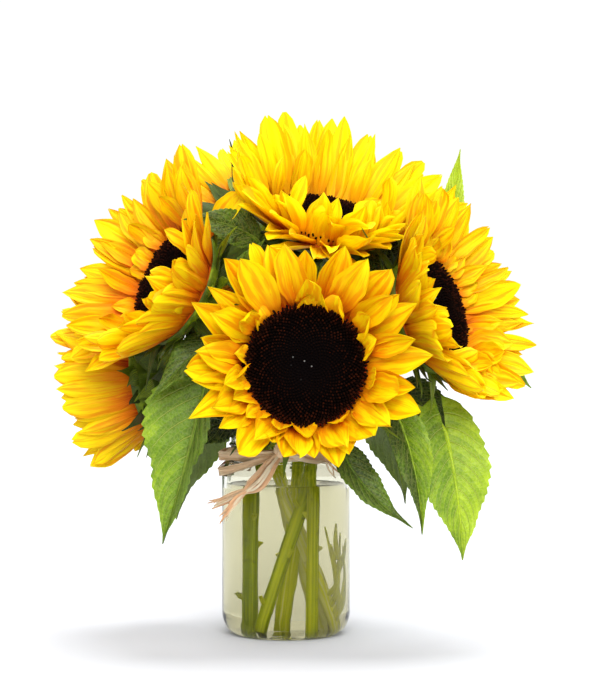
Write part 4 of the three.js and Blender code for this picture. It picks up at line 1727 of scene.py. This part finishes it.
    def build(self) -> None:
        """Makes the stem piece, and its bristles as a piece of their own."""
        bloom, maker, coat = self.bloom, MeshMaker(), MeshMaker()
        node = f"stem_{bloom.name}"
        stem, tone = self.stem()
        cup = bloom.put(self.cup())
        maker.add(stem, tone)
        maker.add(cup, self.cup_tone)
        for i in range(self.stubs):
            # The stubs inside the jar take the stem's tone a little brighter, partly painted light.
            maker.add(self.stub(i), min(1.0, bloom.stem_tone + 0.1))
        steps = np.linspace(0, 1, 24)
        for route in self.shoot:
            strand = tube(catmull_rom(np.array(route, float), steps), 0.35 + 1.7 * (1 - steps) ** 0.6, 10)
            maker.add(strand, self.shoot_tone)
        coat.add(stem)
        coat.add(cup)
        for i, shape in enumerate(bloom.sepal_shapes()):
            found = bloom.as_packed(shape, node)
            if found is not None:
                tone = 0.2 + 0.16 * jitter(bloom.plant, SEPAL_NUMBER + i, TONE_USE)
                maker.add(bloom.put(self.sepal(found, SEPAL_NUMBER + i)), tone)
        for i, shape in enumerate(self.bracts()):
            tone = 0.2 + 0.16 * jitter(bloom.plant, BRACT_NUMBER + i, TONE_USE)
            maker.add(bloom.put(self.sepal(shape, BRACT_NUMBER + i, 10)), tone)
        finish_piece(maker.build(f"stem_{bloom.name}_green", self.finish), Slot.LEAF, node)
        bristle = helper("bristle", lathe(np.array([(0, -0.1), (0.045, -0.1), (0.035, 0.5), (0, 1.0)]), 3))
        carrier = coat.build(f"stem_{bloom.name}_bristles", self.bristles)
        self.bristle_tree(bristle).grow(carrier)
        discard(bristle)
        finish_piece(carrier, Slot.LEAF)


@dataclass(frozen=True)
class Leaf:
    """A leaf: where its stalk leaves the stem, its blade's width, face and fold, its lobes, its rib and its tone.

    Shaded is how much darker the half on the left of the rib is. The right half folds in by folded degrees more, and
    the blade is slimmer by slim towards its tip.
    """

    height: float
    width: float
    face: Triple
    fold: float
    lobe: float
    rib: tuple[Point, Point, Point]
    tone: float
    shaded: float = 0.0
    folded: float = 0.0
    slim: float = 0.0


@dataclass
class LeafSpray:
    """The leaves of one stem with their stalks."""

    bloom: Bloom
    leaves: Sequence[Leaf]
    finish: Material
    rows: int = 69
    columns: int = 17
    thickness: float = 0.5
    teeth: int = 17
    tooth_depth: float = 0.075
    pillow_height: float = 0.055
    wave_height: float = 0.035
    groove_depth: float = 0.5
    groove_width: float = 0.9
    droop: float = 0.13

    def blade(self, leaf: Leaf, number: int) -> tuple[Solid, Array]:
        """A leaf blade, toothed, folded along its rib, waved at its edges and raised between its veins.

        Args:
            leaf: The leaf.
            number: Its number on the stem, for its own traits.

        Returns:
            The blade in the bunch's frame, and the tone of each point.
        """
        j = traits(self.bloom.plant, number, range(1, 3))
        s = np.linspace(0, 1, self.rows)
        t = np.linspace(-1, 1, self.columns)
        t = np.sign(t) * np.abs(t) ** 0.85
        middle = bezier(np.array(leaf.rib, float), s)
        length = np.linalg.norm(np.diff(middle, axis=0), axis=1).sum()
        along = unit(np.gradient(middle, axis=0))
        across = unit(np.cross(np.array(leaf.face), along))
        up = np.cross(along, across)
        stops = ((0, 0.1), (0.03, 0.46), (0.09, 0.76), (0.18, 0.94), (0.3, 1.0), (0.45, 0.89), (0.6, 0.66),
                 (0.75, 0.37), (0.86, 0.16), (0.93, 0.07), (1, 0.012))
        half = leaf.width / 2 * profile_at(stops, s) * (1 - leaf.slim * np.sin(np.pi * np.clip(s, 0.2, 1)) ** 2)
        saw = (s * self.teeth) % 1
        tooth = self.tooth_depth * (np.clip(saw / 0.75, 0, 1) - np.clip((saw - 0.75) / 0.25, 0, 1) - 0.5)
        reach = np.outer(half, t) * (1 + np.outer(tooth, np.abs(t) ** 5))
        leftward = (across[:, 0] < 0)[:, None]
        left_half = np.where(leftward, t[None, :] > 0.02, t[None, :] < -0.02)
        fold = np.radians(leaf.fold + leaf.folded * ~left_half)
        out = np.abs(t)[None, :]
        edge = half[:, None] * out
        cell = ((s[:, None] - VEIN_SWEEP * out) * VEIN_COUNT) % 1
        pillow = self.pillow_height * leaf.width * (np.sin(np.pi * cell) ** 0.7 - 0.6)
        pillow = pillow * (out**0.6) * (1 - out**4) * (1 - s[:, None])
        groove = self.groove_depth * np.exp(-((np.outer(half, t) / self.groove_width) ** 2))
        ripple = np.sin(2 * np.pi * (2.1 * s[:, None] + 0.5 * j[0] + 0.3 * np.sign(t)[None, :]))
        ripple = ripple + 0.5 * np.sin(2 * np.pi * (4.3 * s[:, None] + j[1] + 0.4 * np.sign(t)[None, :]))
        wave = self.wave_height * leaf.width * ripple * out**2.4 * np.sin(np.pi * np.clip(s, 0.02, 1))[:, None] ** 0.5
        lift = edge * np.sin(fold) + pillow - groove + wave - self.droop * edge * out
        back = leaf.lobe * length * np.clip(1 - s / 0.4, 0, 1) ** 1.5
        grid = (
            middle[:, None]
            + across[:, None] * (reach * np.cos(fold))[..., None]
            + up[:, None] * lift[..., None]
            - along[:, None] * np.outer(back, np.abs(t) ** 1.3)[..., None]
        )
        # Tone: lighter towards the edges, darker towards the stalk as painted shade, and darker on one half by shaded,
        # lighter where that is negative, which is painted light and shade too.
        tone = leaf.tone + 0.1 * out**4 - 0.12 * (1 - s[:, None]) ** 3 - leaf.shaded * left_half
        inner = tone[1:-1, 1:-1].ravel()
        return shell(grid, self.thickness), np.concatenate([tone.ravel(), inner])

    def stalk(self, leaf: Leaf) -> Solid:
        """The stalk from the stem to the blade, running on under the rib.

        Args:
            leaf: The leaf.

        Returns:
            The stalk in the bunch's frame.
        """
        rib = np.array(leaf.rib, float)
        foot = self.bloom.stem_at_height(leaf.height)
        base, start = rib[0], unit(rib[1] - rib[0])
        drop = 0.45 * np.linalg.norm(foot - base)
        raised = lerp(foot, base, 0.35) + UP * 0.3 * drop
        points = np.array([foot, raised, base - start * 0.6 * drop, base + start * 4])
        steps = np.linspace(0, 1, 26)
        path = bezier(points, steps)
        after = bezier(rib, np.linspace(0.04, 0.9, 24))
        across = unit(np.cross(np.array(leaf.face), np.gradient(after, axis=0)))
        up = np.cross(unit(np.gradient(after, axis=0)), across)
        under = after - up * 0.45
        path = np.concatenate([path[:-1], under[1:]])
        thick = np.concatenate([1.75 - 0.35 * steps[:-1], np.linspace(1.25, 0.3, 23)])
        return tube(path, thick, 10)

    def build(self) -> None:
        """Makes the leaves of the stem as one piece."""
        maker = MeshMaker()
        for i, leaf in enumerate(self.leaves):
            maker.add(*self.blade(leaf, LEAF_NUMBER + i))
            maker.add(self.stalk(leaf), min(1.0, leaf.tone + 0.12))
        stem = self.bloom.name
        finish_piece(maker.build(f"stem_{stem}_leaves", self.finish), Slot.LEAF, f"stem_{stem}")


# Jar, water and raffia


@dataclass
class PreservingJar:
    """The glass jar: straight sides with two mould seams, rounded shoulder and heel, a bead and a screw thread."""

    finish: Material
    height: float = 130.0
    radius: float = 40.0
    wall: float = 2.8
    sides: int = 128
    thread_low: float = 120.9
    thread_pitch: float = 3.2
    thread_turns: float = 1.6
    thread_relief: float = 1.15
    thread_width: float = 0.85
    neck: float = 34.2
    seams: tuple[int, ...] = (19, 83)
    seam_relief: float = 0.3

    def outline(self) -> Array:
        """The turned outline, from the middle of the base up the outside and down the inside.

        Returns:
            Radius and height of each point.
        """
        inner = self.radius - self.wall
        outside = [(0, 2.2), (22, 1.6), (27.5, 0), (31, 0), (37, 3.6), (self.radius, 11), (self.radius, 101.8),
                   (38.5, 106.2), (34, 109), (34, 116.8), (36, 118.2), (self.neck, 120)]
        finish = [(self.neck, z) for z in np.arange(120.5, 128.6, 0.45)]
        rim = [(self.neck, 128.9), (33.3, self.height), (31.2, self.height), (30.4, 129.0)]
        inside = [(30.4, 108), (inner - 1.6, 105), (inner, 100.5), (inner, 13), (inner - 4, 6.2), (28, 4), (0, 4.4)]
        return np.concatenate([rounded(outside, 3.0), np.array(finish), rounded(rim + inside, 2.4)])

    def thread(self, outline: Array) -> Array:
        """How far the thread and the seams stand out of the outline.

        Args:
            outline: The turned outline.

        Returns:
            One row a point of it, one column a step round.
        """
        angle = steps_round(self.sides)
        relief = np.zeros((len(outline), self.sides))
        outer = (np.abs(outline[:, 0] - self.neck) < 0.01) & (outline[:, 1] > 120.4)
        for whole in range(math.ceil(self.thread_turns)):
            wound = angle / (2 * np.pi) + whole
            ends = np.clip(np.minimum(wound, self.thread_turns - wound) / 0.08, 0, 1)
            middle = self.thread_low + 1.2 + self.thread_pitch * wound
            away = outline[:, 1:] - middle[None, :]
            wire = np.exp(-((away / self.thread_width) ** 2))
            relief += self.thread_relief * ends[None, :] * wire * outer[:, None]
        relief[:, self.seams] += self.seam_relief * (outline[:, :1] > self.radius - 1.6)
        return relief

    def build(self) -> None:
        """Makes the jar."""
        maker = MeshMaker()
        outline = self.outline()
        maker.add(lathe(outline, self.sides, self.thread(outline)))
        finish_piece(maker.build("jar_glass", self.finish), Slot.GLASS, "jar")


@dataclass
class JarWater:
    """The water, which creeps up the glass at its edge, and the small bubbles on the stems near its top."""

    finish: Material
    bubble_finish: Material
    blooms: Sequence[Bloom]
    level: float = 94.0
    radius: float = 37.25
    sides: int = 96
    bubble_depth: float = 16.0

    def body(self) -> Solid:
        """The water as one solid that touches the glass.

        Returns:
            The water.
        """
        r = self.radius
        edge = [(r, self.level - 2.2), (r - 0.9, self.level - 0.1)]
        outline = [(0, 4.35), (28, 3.95), (r - 4, 6.15), (r, 12.95)] + edge
        surface = [(r - 1.5, self.level - 0.3), (r - 3.0, self.level - 0.75), (0, self.level - 0.8)]
        return lathe(np.concatenate([rounded(outline, 2.4), np.array(surface)]), self.sides)

    def bubble_tree(self, bubble: Object) -> GrowthTree:
        """The tree that scatters bubbles over the stems just under the water's surface.

        Args:
            bubble: The shape that it repeats.

        Returns:
            The tree, ready to grow.
        """
        grown = GrowthTree("BubbleScatter", {
            "Bubbles per Area": 60000.0,
            "Smallest": 0.25,
            "Largest": 0.8,
            "Seed": 5,
            "Bubble": bubble,
            "Material": self.bubble_finish,
        })
        size = grown.random(grown.given("Smallest"), grown.given("Largest"), 2)
        grown.scatter("Bubbles per Area", "Bubble", grown.bench.vector(size, size, size))
        return grown

    def build(self) -> None:
        """Makes the water and its bubbles."""
        maker = MeshMaker()
        maker.add(self.body())
        finish_piece(maker.build("jar_water", self.finish), Slot.WATER, "water")
        band = MeshMaker()
        for bloom in self.blooms:
            top = bloom.stem_at_height(self.level - 1.8)
            foot = bloom.stem_at_height(self.level - self.bubble_depth)
            band.add(tube(np.linspace(foot, top, 6), np.full(6, 3.95), 12))
        ball = np.array([(0, -0.5), (0.35, -0.35), (0.5, 0), (0.35, 0.35), (0, 0.5)])
        bubble = helper("bubble", lathe(ball, 8))
        carrier = band.build("water_bubbles", self.bubble_finish)
        self.bubble_tree(bubble).grow(carrier)
        discard(bubble)
        finish_piece(carrier, Slot.WATER)


TIE_PLANT = 7
END_PLANT = 8
LOOP_NUMBER = 30
SLACK_NUMBER = 50


@dataclass
class RaffiaTie:
    """Raffia wound round the jar's neck, knotted in front, with slack turns and loose frayed ends."""

    finish: Material
    height: float = 112.6
    neck: float = 34.35
    knot: Triple = (-2.0, -40.6, 116.6)
    thickness: float = 0.45
    loop_thickness: float = 0.5
    end_thickness: float = 0.42
    wraps: int = 12
    sags: tuple[float, ...] = (12.6, 11.4, 10.0, 4.4, 3.0, 1.6)
    slack_radius: float = 41.8
    loops: int = 5
    loop_size: tuple[float, float] = (4.9, 3.2)
    frays: tuple[int, ...] = (11, 11, 3)
    ends: tuple[tuple[Point, ...], ...] = (
        ((0, 3, 1), (-7, -1.5, -8), (-14.7, 0.5, -18), (-25.5, 4, -26), (-43, 12, -34)),
        ((0, 3, -1), (-6, -3, -9.5), (-13.5, -2, -20), (-25, 2, -27.5), (-37, 8, -42)),
        ((0, 3, -1), (14, 0, -3), (26, 4, -6), (33, 9, -16)),
    )

    def wrap(self, i: int) -> Solid:
        """One turn of a strand round the neck.

        Args:
            i: Its number, from the innermost.

        Returns:
            The turn.
        """
        j = traits(TIE_PLANT, i, range(1, 7))
        angle = np.linspace(0, 2 * np.pi * 1.03, 150) + 0.7 * i - np.pi / 2
        r = self.neck + 0.3 + 2.5 * i / self.wraps + 0.22 * np.sin(3 * angle + 6 * j[0])
        z = self.height + 2.5 * j[1] + 0.9 * np.sin(angle + 6 * j[2]) + 0.4 * np.sin(4 * angle + 6 * j[3])
        path = around(angle, r, z)
        facing = around(angle, 1.0, 0.6 * np.sin(3 * angle + 6 * j[4]))
        return ribbon(path, facing, np.full(len(path), 2.3 + 0.6 * j[5]), self.thickness)

    def slack(self, i: int) -> Solid:
        """A strand that hangs slack at the left.

        Args:
            i: Its number, from the lowest.

        Returns:
            The strand.
        """
        share = np.linspace(0, 1, 70)
        angle = np.radians(-98 - (150 - 4 * i) * share)
        sag = np.sin(np.pi * share)
        r = lerp(self.neck + 2, self.slack_radius, sag**0.3)
        z = self.height + 0.5 * i - self.sags[i] * sag
        path = around(angle, r, z)
        facing = around(angle, 1.0, 0.25 + 0.8 * np.sin(7 * share + 2 * i))
        return ribbon(path, facing, np.full(len(path), 2.8 - 0.12 * i), self.thickness)

    def loop(self, i: int) -> Solid:
        """A turn of the knot.

        Args:
            i: Its number.

        Returns:
            The turn.
        """
        j = traits(TIE_PLANT, LOOP_NUMBER + i, range(1, 5))
        angle = np.linspace(0, 2 * np.pi, 44)
        lean = radians(-40 + 38 * i + 8 * j[0])
        flat = np.array([math.cos(lean), 0.1 * j[1], math.sin(lean)])
        deep = np.array([0.0, 1.0, 0.15 * j[2]])
        long, short = self.loop_size
        path = np.array(self.knot) + long * np.cos(angle)[:, None] * flat + short * np.sin(angle)[:, None] * deep
        facing = np.cos(angle)[:, None] * flat * short + np.sin(angle)[:, None] * deep * long
        return ribbon(path, facing, np.full(len(path), 3.4 + 0.6 * j[3]), self.loop_thickness)

    def end(self, route: Sequence[Point], i: int, of: int) -> Solid:
        """A strand of a loose end, which turns as it goes and frays apart from the others at its tip.

        Args:
            route: Points of the loose end, from the knot.
            i: Number of the strand in it.
            of: Number of the loose end.

        Returns:
            The strand.
        """
        j = traits(END_PLANT, 20 * of + i, range(1, 9))
        share = np.linspace(0, 1, 60)
        path = catmull_rom(np.array(self.knot) + np.array(route, float), share)
        apart = np.array([1.3 * j[0], 1.0 * j[1], 1.5 * j[2]])
        fray = np.array([3.2 * j[3], 1.6 * j[4], 3.4 * j[5]])
        pinched = 1 - 0.8 * np.exp(-(((share - 0.7) / 0.08) ** 2))
        path = path + (np.sin(np.pi * share) * 2.3 * pinched)[:, None] * apart + (share**4)[:, None] * fray
        turn = 1.2 * j[6] + (4.2 + 2.6 * j[7]) * share
        facing = np.stack([0.5 * np.sin(turn), -np.cos(turn), 0.8 * np.sin(turn)], axis=-1)
        width = (2.0 + 0.6 * j[1]) * profile_at(((0, 0.8), (0.3, 1.0), (0.8, 0.9), (1, 0.3)), share)
        return ribbon(path, facing, width, self.end_thickness)

    def build(self) -> None:
        """Makes the tie as one piece."""
        maker = MeshMaker()
        for i in range(self.wraps):
            maker.add(self.wrap(i), 0.6 + 0.2 * jitter(TIE_PLANT, i, 9))
        for i in range(len(self.sags)):
            maker.add(self.slack(i), 0.5 + 0.4 * jitter(TIE_PLANT, SLACK_NUMBER + i, 9) ** 2)
        for i in range(self.loops):
            maker.add(self.loop(i), 0.55 + 0.2 * jitter(TIE_PLANT, LOOP_NUMBER + i, 9))
        for of, route in enumerate(self.ends):
            for i in range(self.frays[of]):
                maker.add(self.end(route, i, of), 0.6 + 0.4 * jitter(END_PLANT, 20 * of + i, 9))
        finish_piece(maker.build("raffia_strands", self.finish), Slot.RAFFIA, "raffia_tie")


# Studio


@dataclass(frozen=True)
class SoftLamp:
    """A broad soft lamp far off: where it shines from, how many degrees wide it looks, and its power."""

    name: str
    at: Triple
    spread: float
    power: float
    colour: Colour = (1.0, 1.0, 1.0)


@dataclass
class Studio:
    """The plain pale floor, soft lamps, pale surroundings and the camera. None of it is part of the object."""

    lamps: tuple[SoftLamp, ...] = (
        SoftLamp("key_lamp", (0.06, -1.0, 0.5), 34, 3.3),
        SoftLamp("top_lamp", (0.08, 0.16, 1.0), 34, 2.6),
    )
    surroundings: float = 1.0
    backdrop: float = 1.05
    camera_at: Triple = (0.00875, -1.2, 0.177)
    focal_length: float = 98.743
    floor_radius: float = 9000.0

    def camera(self) -> None:
        """Sets up the camera at the photograph's viewing angle."""
        lens = bpy.data.cameras.new("view_camera")
        lens.lens = self.focal_length
        lens.clip_start = 0.05
        lens.clip_end = 60
        made = bpy.data.objects.new("view_camera", lens)
        made.location = self.camera_at
        made.rotation_euler = (math.pi / 2, 0, 0)
        bpy.context.scene.collection.objects.link(made)
        bpy.context.scene.camera = made

    def floor(self) -> None:
        """Lays the floor."""
        maker = MeshMaker()
        top, foot = -0.02, -2.0
        outline = [(0, foot), (self.floor_radius, foot), (self.floor_radius, top), (0, top)]
        maker.add(lathe(np.array(outline, float), 64))
        maker.build("floor", FloorFinish().material())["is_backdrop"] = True

    def lights(self) -> None:
        """Hangs the lamps and sets the surroundings: pale as a lamp, and paler still as the plain backdrop."""
        for lamp in self.lamps:
            light = bpy.data.lights.new(lamp.name, "SUN")
            light.angle = radians(lamp.spread)
            light.energy = lamp.power
            light.color = lamp.colour
            made = bpy.data.objects.new(lamp.name, light)
            made.location = lamp.at
            made.rotation_euler = Vector(lamp.at).to_track_quat("Z", "Y").to_euler()
            bpy.context.scene.collection.objects.link(made)
        world = bpy.data.worlds.new("pale_surroundings")
        world.use_nodes = True
        world.node_tree.nodes.clear()
        bench = NodeBench(world.node_tree)
        seen = bench.node("ShaderNodeLightPath").outputs["Is Camera Ray"]
        strength = bench.math("MULTIPLY_ADD", seen, self.backdrop - self.surroundings, self.surroundings)
        sky = bench.node("ShaderNodeBackground", {"Color": (1.0, 1.0, 1.0, 1.0), "Strength": strength})
        bench.node("ShaderNodeOutputWorld", {"Surface": sky.outputs[0]})
        bpy.context.scene.world = world

    def build(self) -> None:
        """Makes the studio."""
        self.camera()
        self.floor()
        self.lights()
        bpy.context.scene.view_settings.view_transform = "Standard"


# What the bunch holds

GLASS = ClearFinish("jar_clear_glass", (0.85, 0.84, 0.74), 1.5, roughness=0.01, unevenness=0.0005, scale=60.0,
                    drawn=5.0)
WATER = ClearFinish("clear_water", (0.75, 0.73, 0.58), 1.333)
BUBBLES = ClearFinish("water_bubble", (1.0, 1.0, 1.0), 1.1)

# The three petal finishes are partly the blooms' own colours and partly painted light: lemon, the lightest, is for the
# top bloom and for the rear one seen from behind, gold, the deepest, for the left and low left ones, and yellow,
# between them, for the right and front ones.
PETAL_FINISHES = (
    PetalFinish("petal_gold", (0.5, 0.03, 0.0006), (0.88, 0.26, 0.001), (0.92, 0.6, 0.001), (0.95, 0.76, 0.002),
                (0.82, 0.2, 0.0006)),
    PetalFinish("petal_lemon", (0.58, 0.08, 0.0008), (0.93, 0.47, 0.001), (0.975, 0.77, 0.001),
                (0.985, 0.88, 0.003), (0.9, 0.42, 0.0006)),
    PetalFinish("petal_yellow", (0.52, 0.035, 0.0007), (0.89, 0.3, 0.001), (0.94, 0.69, 0.001),
                (0.96, 0.81, 0.002), (0.84, 0.25, 0.0006)),
)

BLOOMS = (
    Bloom("front", 0, (12, -82, 168), 0, 4, 47, 0, 5, 0, 5, -90, 0.3, (14, -19.2), (15, -18.6), 0.72,
          filled=(1, 0), broad=1.08),
    Bloom("left", 1, (-69, -47, 217), -58, 22, 51, 0, 9, 4, 16, -50, 0, (24.8, -3.8), (-9, -6), 0.95, 6, -50),
    Bloom("right", 2, (90, -45, 200), 58, 15, 47, 0, 9, 2, 14, 232, 0, (-14, -20), (17.6, -9.5), 0.66, 17, -78),
    Bloom("top", 3, (27, -14, 257), 25, 62, 56, -8, -24, 15, 0, -80, 0.08, (-2, 12), (8, 4), 0.8, 17, -108),
    Bloom("low_left", 4, (-92, 24, 161), -105, -6, 46, 17, 7, 14, 7, -90, 0, (-17, 2), (-15.5, 4), 0.62),
    Bloom("rear", 5, (-20, 58, 248), -165, -10, 47, 2, 3, 2, 3, 90, 0, (14, 20), (-6, 19), 1.0,
          opened=26.0),
)

LEAVES = {
    "left": (
        Leaf(146, 74, (-0.35, -1, 0.1), 14, 0.12, ((-48, -46, 157), (-58, -54, 108), (-74, -44, 60)), 0.47,
             shaded=-0.14, folded=44, slim=0.14),
        Leaf(165, 25, (-0.3, -1, 0.5), 18, 0.02, ((-42, -52, 184), (-60, -64, 172), (-80, -60, 147)), 0.3),
        Leaf(196, 22, (0.1, -1, 0.1), 14, 0.02, ((-17, -52, 243), (-36, -64, 256), (-60, -68, 254)), 0.34),
        Leaf(186, 24, (-0.2, -1, 0.2), 34, 0.04, ((-24, -52, 213), (-25, -62, 226), (-12, -64, 243)), 0.4),
        # Painted shade: this small leaf by the jar's neck is set nearly black, where the neck lies in shadow.
        Leaf(138, 30, (-0.1, -0.8, 0.7), 8, 0.02, ((-24, -34, 137), (-46, -38, 134), (-66, -30, 114)), 0.08),
        Leaf(170, 17, (-0.1, -1, 0.1), 20, 0.02, ((-42, -46, 184), (-54, -48, 188), (-68, -44, 198)), 0.1),
    ),
    "right": (
        Leaf(190, 15, (-0.1, -1, 0.1), 10, 0, ((104, 14, 246), (106, 20, 280), (110, 12, 304)), 0.92),
        Leaf(182, 22, (0, -1, 0.5), 12, 0, ((122, 24, 174), (140, 22, 168), (155, 12, 153)), 0.5),
        Leaf(150, 46, (0.25, -1, 0.1), 12, 0.3, ((97, -40, 127), (105, -50, 90), (107, -42, 50)), 0.8, 0.13),
        Leaf(165, 30, (0.2, -1, 0.3), 12, 0.05, ((70, -22, 152), (92, -22, 144), (98, -26, 114)), 0.24),
        Leaf(142, 30, (0.2, -1, 0), 38, 0.03, ((66, -50, 140), (80, -60, 110), (82, -50, 66)), 0.62, 0.36),
    ),
    "front": (
        Leaf(141, 26, (0.5, -1, 0.5), 22, 0.02, ((33, -47, 119), (44, -54, 92), (77, -48, 70)), 0.34),
    ),
    "low_left": (
        Leaf(145, 50, (-0.5, 1, 0.2), 14, 0.14, ((-46, 53, 140), (-66, 72, 114), (-73, 68, 65)), 0.55),
    ),
    "top": (
        Leaf(150, 52, (0.6, 1, 0.2), 14, 0.14, ((48, 42, 150), (72, 60, 126), (78, 60, 76)), 0.6),
        Leaf(186, 27, (0.1, -1, 0.1), 14, 0.02, ((37, -27, 206), (50, -40, 220), (64, -38, 247)), 0.25),
        Leaf(184, 40, (0.2, 0.6, 1), 16, 0.08, ((46, 36, 214), (70, 58, 236), (96, 60, 232)), 0.45),
        Leaf(196, 20, (0.1, -1, 0.1), 20, 0.02, ((50, -18, 228), (63, -22, 236), (80, -16, 250)), 0.1),
    ),
    "rear": (
        Leaf(160, 44, (0, 1, 0.4), 14, 0.12, ((2, 56, 156), (6, 84, 138), (10, 84, 92)), 0.6),
    ),
}

SHOOTS = {
    "left": (
        ((18.5, -4.2, 24), (25, -7, 30), (28, -9, 44), (29.5, -10, 64)),
        ((26.5, -8, 34), (25.5, -9.5, 44), (23.5, -10, 57)),
        ((27.6, -8.6, 40), (31, -6, 50), (32.2, -4, 60)),
        ((24, -5, 14), (30, -8, 24), (33, -9, 40)),
        ((22, -4.5, 18), (28, -12, 30), (31, -15, 52)),
        ((28, -9, 48), (26.8, -12, 58), (27.5, -14, 70)),
        ((24.5, -4.5, 9), (28, -8, 18), (26.5, -11.5, 38), (20.5, -13, 68)),
        ((25, -4.5, 12), (30, -6, 20), (32.5, -8, 36), (31.5, -10, 56)),
    ),
}


def write_sizes() -> None:
    """Gathers the CAD box and the visible pieces' box as lists of lowest and highest corner in metres, and keeps
    neither.
    """
    boxes = {"cad": CAD_BOX, "visual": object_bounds()}
    {name: [list(corner) for corner in box] for name, box in boxes.items()}


def main() -> None:
    """Builds every piece in order."""
    logging.basicConfig(level=logging.INFO, format="%(name)s %(message)s")
    Studio().build()
    # Lit and shaded copies of one petal finish, partly painted light.
    gold_lit, lemon_lit, yellow = (finish.material() for finish in PETAL_FINISHES)
    petals = {"top": lemon_lit, "rear": lemon_lit, "right": yellow, "front": yellow}
    florets = FloretFinish().material()
    leaf_green = LeafFinish().material()
    stem_green = StemFinish().material()
    bristles = HairFinish().material()
    for bloom in BLOOMS:
        PetalRing(bloom, petals.get(bloom.name, gold_lit)).build()
        SeedDisc(bloom, florets).build()
        StemAndCup(bloom, stem_green, bristles, SHOOTS.get(bloom.name, ())).build()
        LeafSpray(bloom, LEAVES[bloom.name], leaf_green).build()
    PreservingJar(GLASS.material()).build()
    JarWater(WATER.material(), BUBBLES.material(), BLOOMS).build()
    RaffiaTie(RaffiaFinish().material()).build()
    write_sizes()


if __name__ == "__main__":
    main()
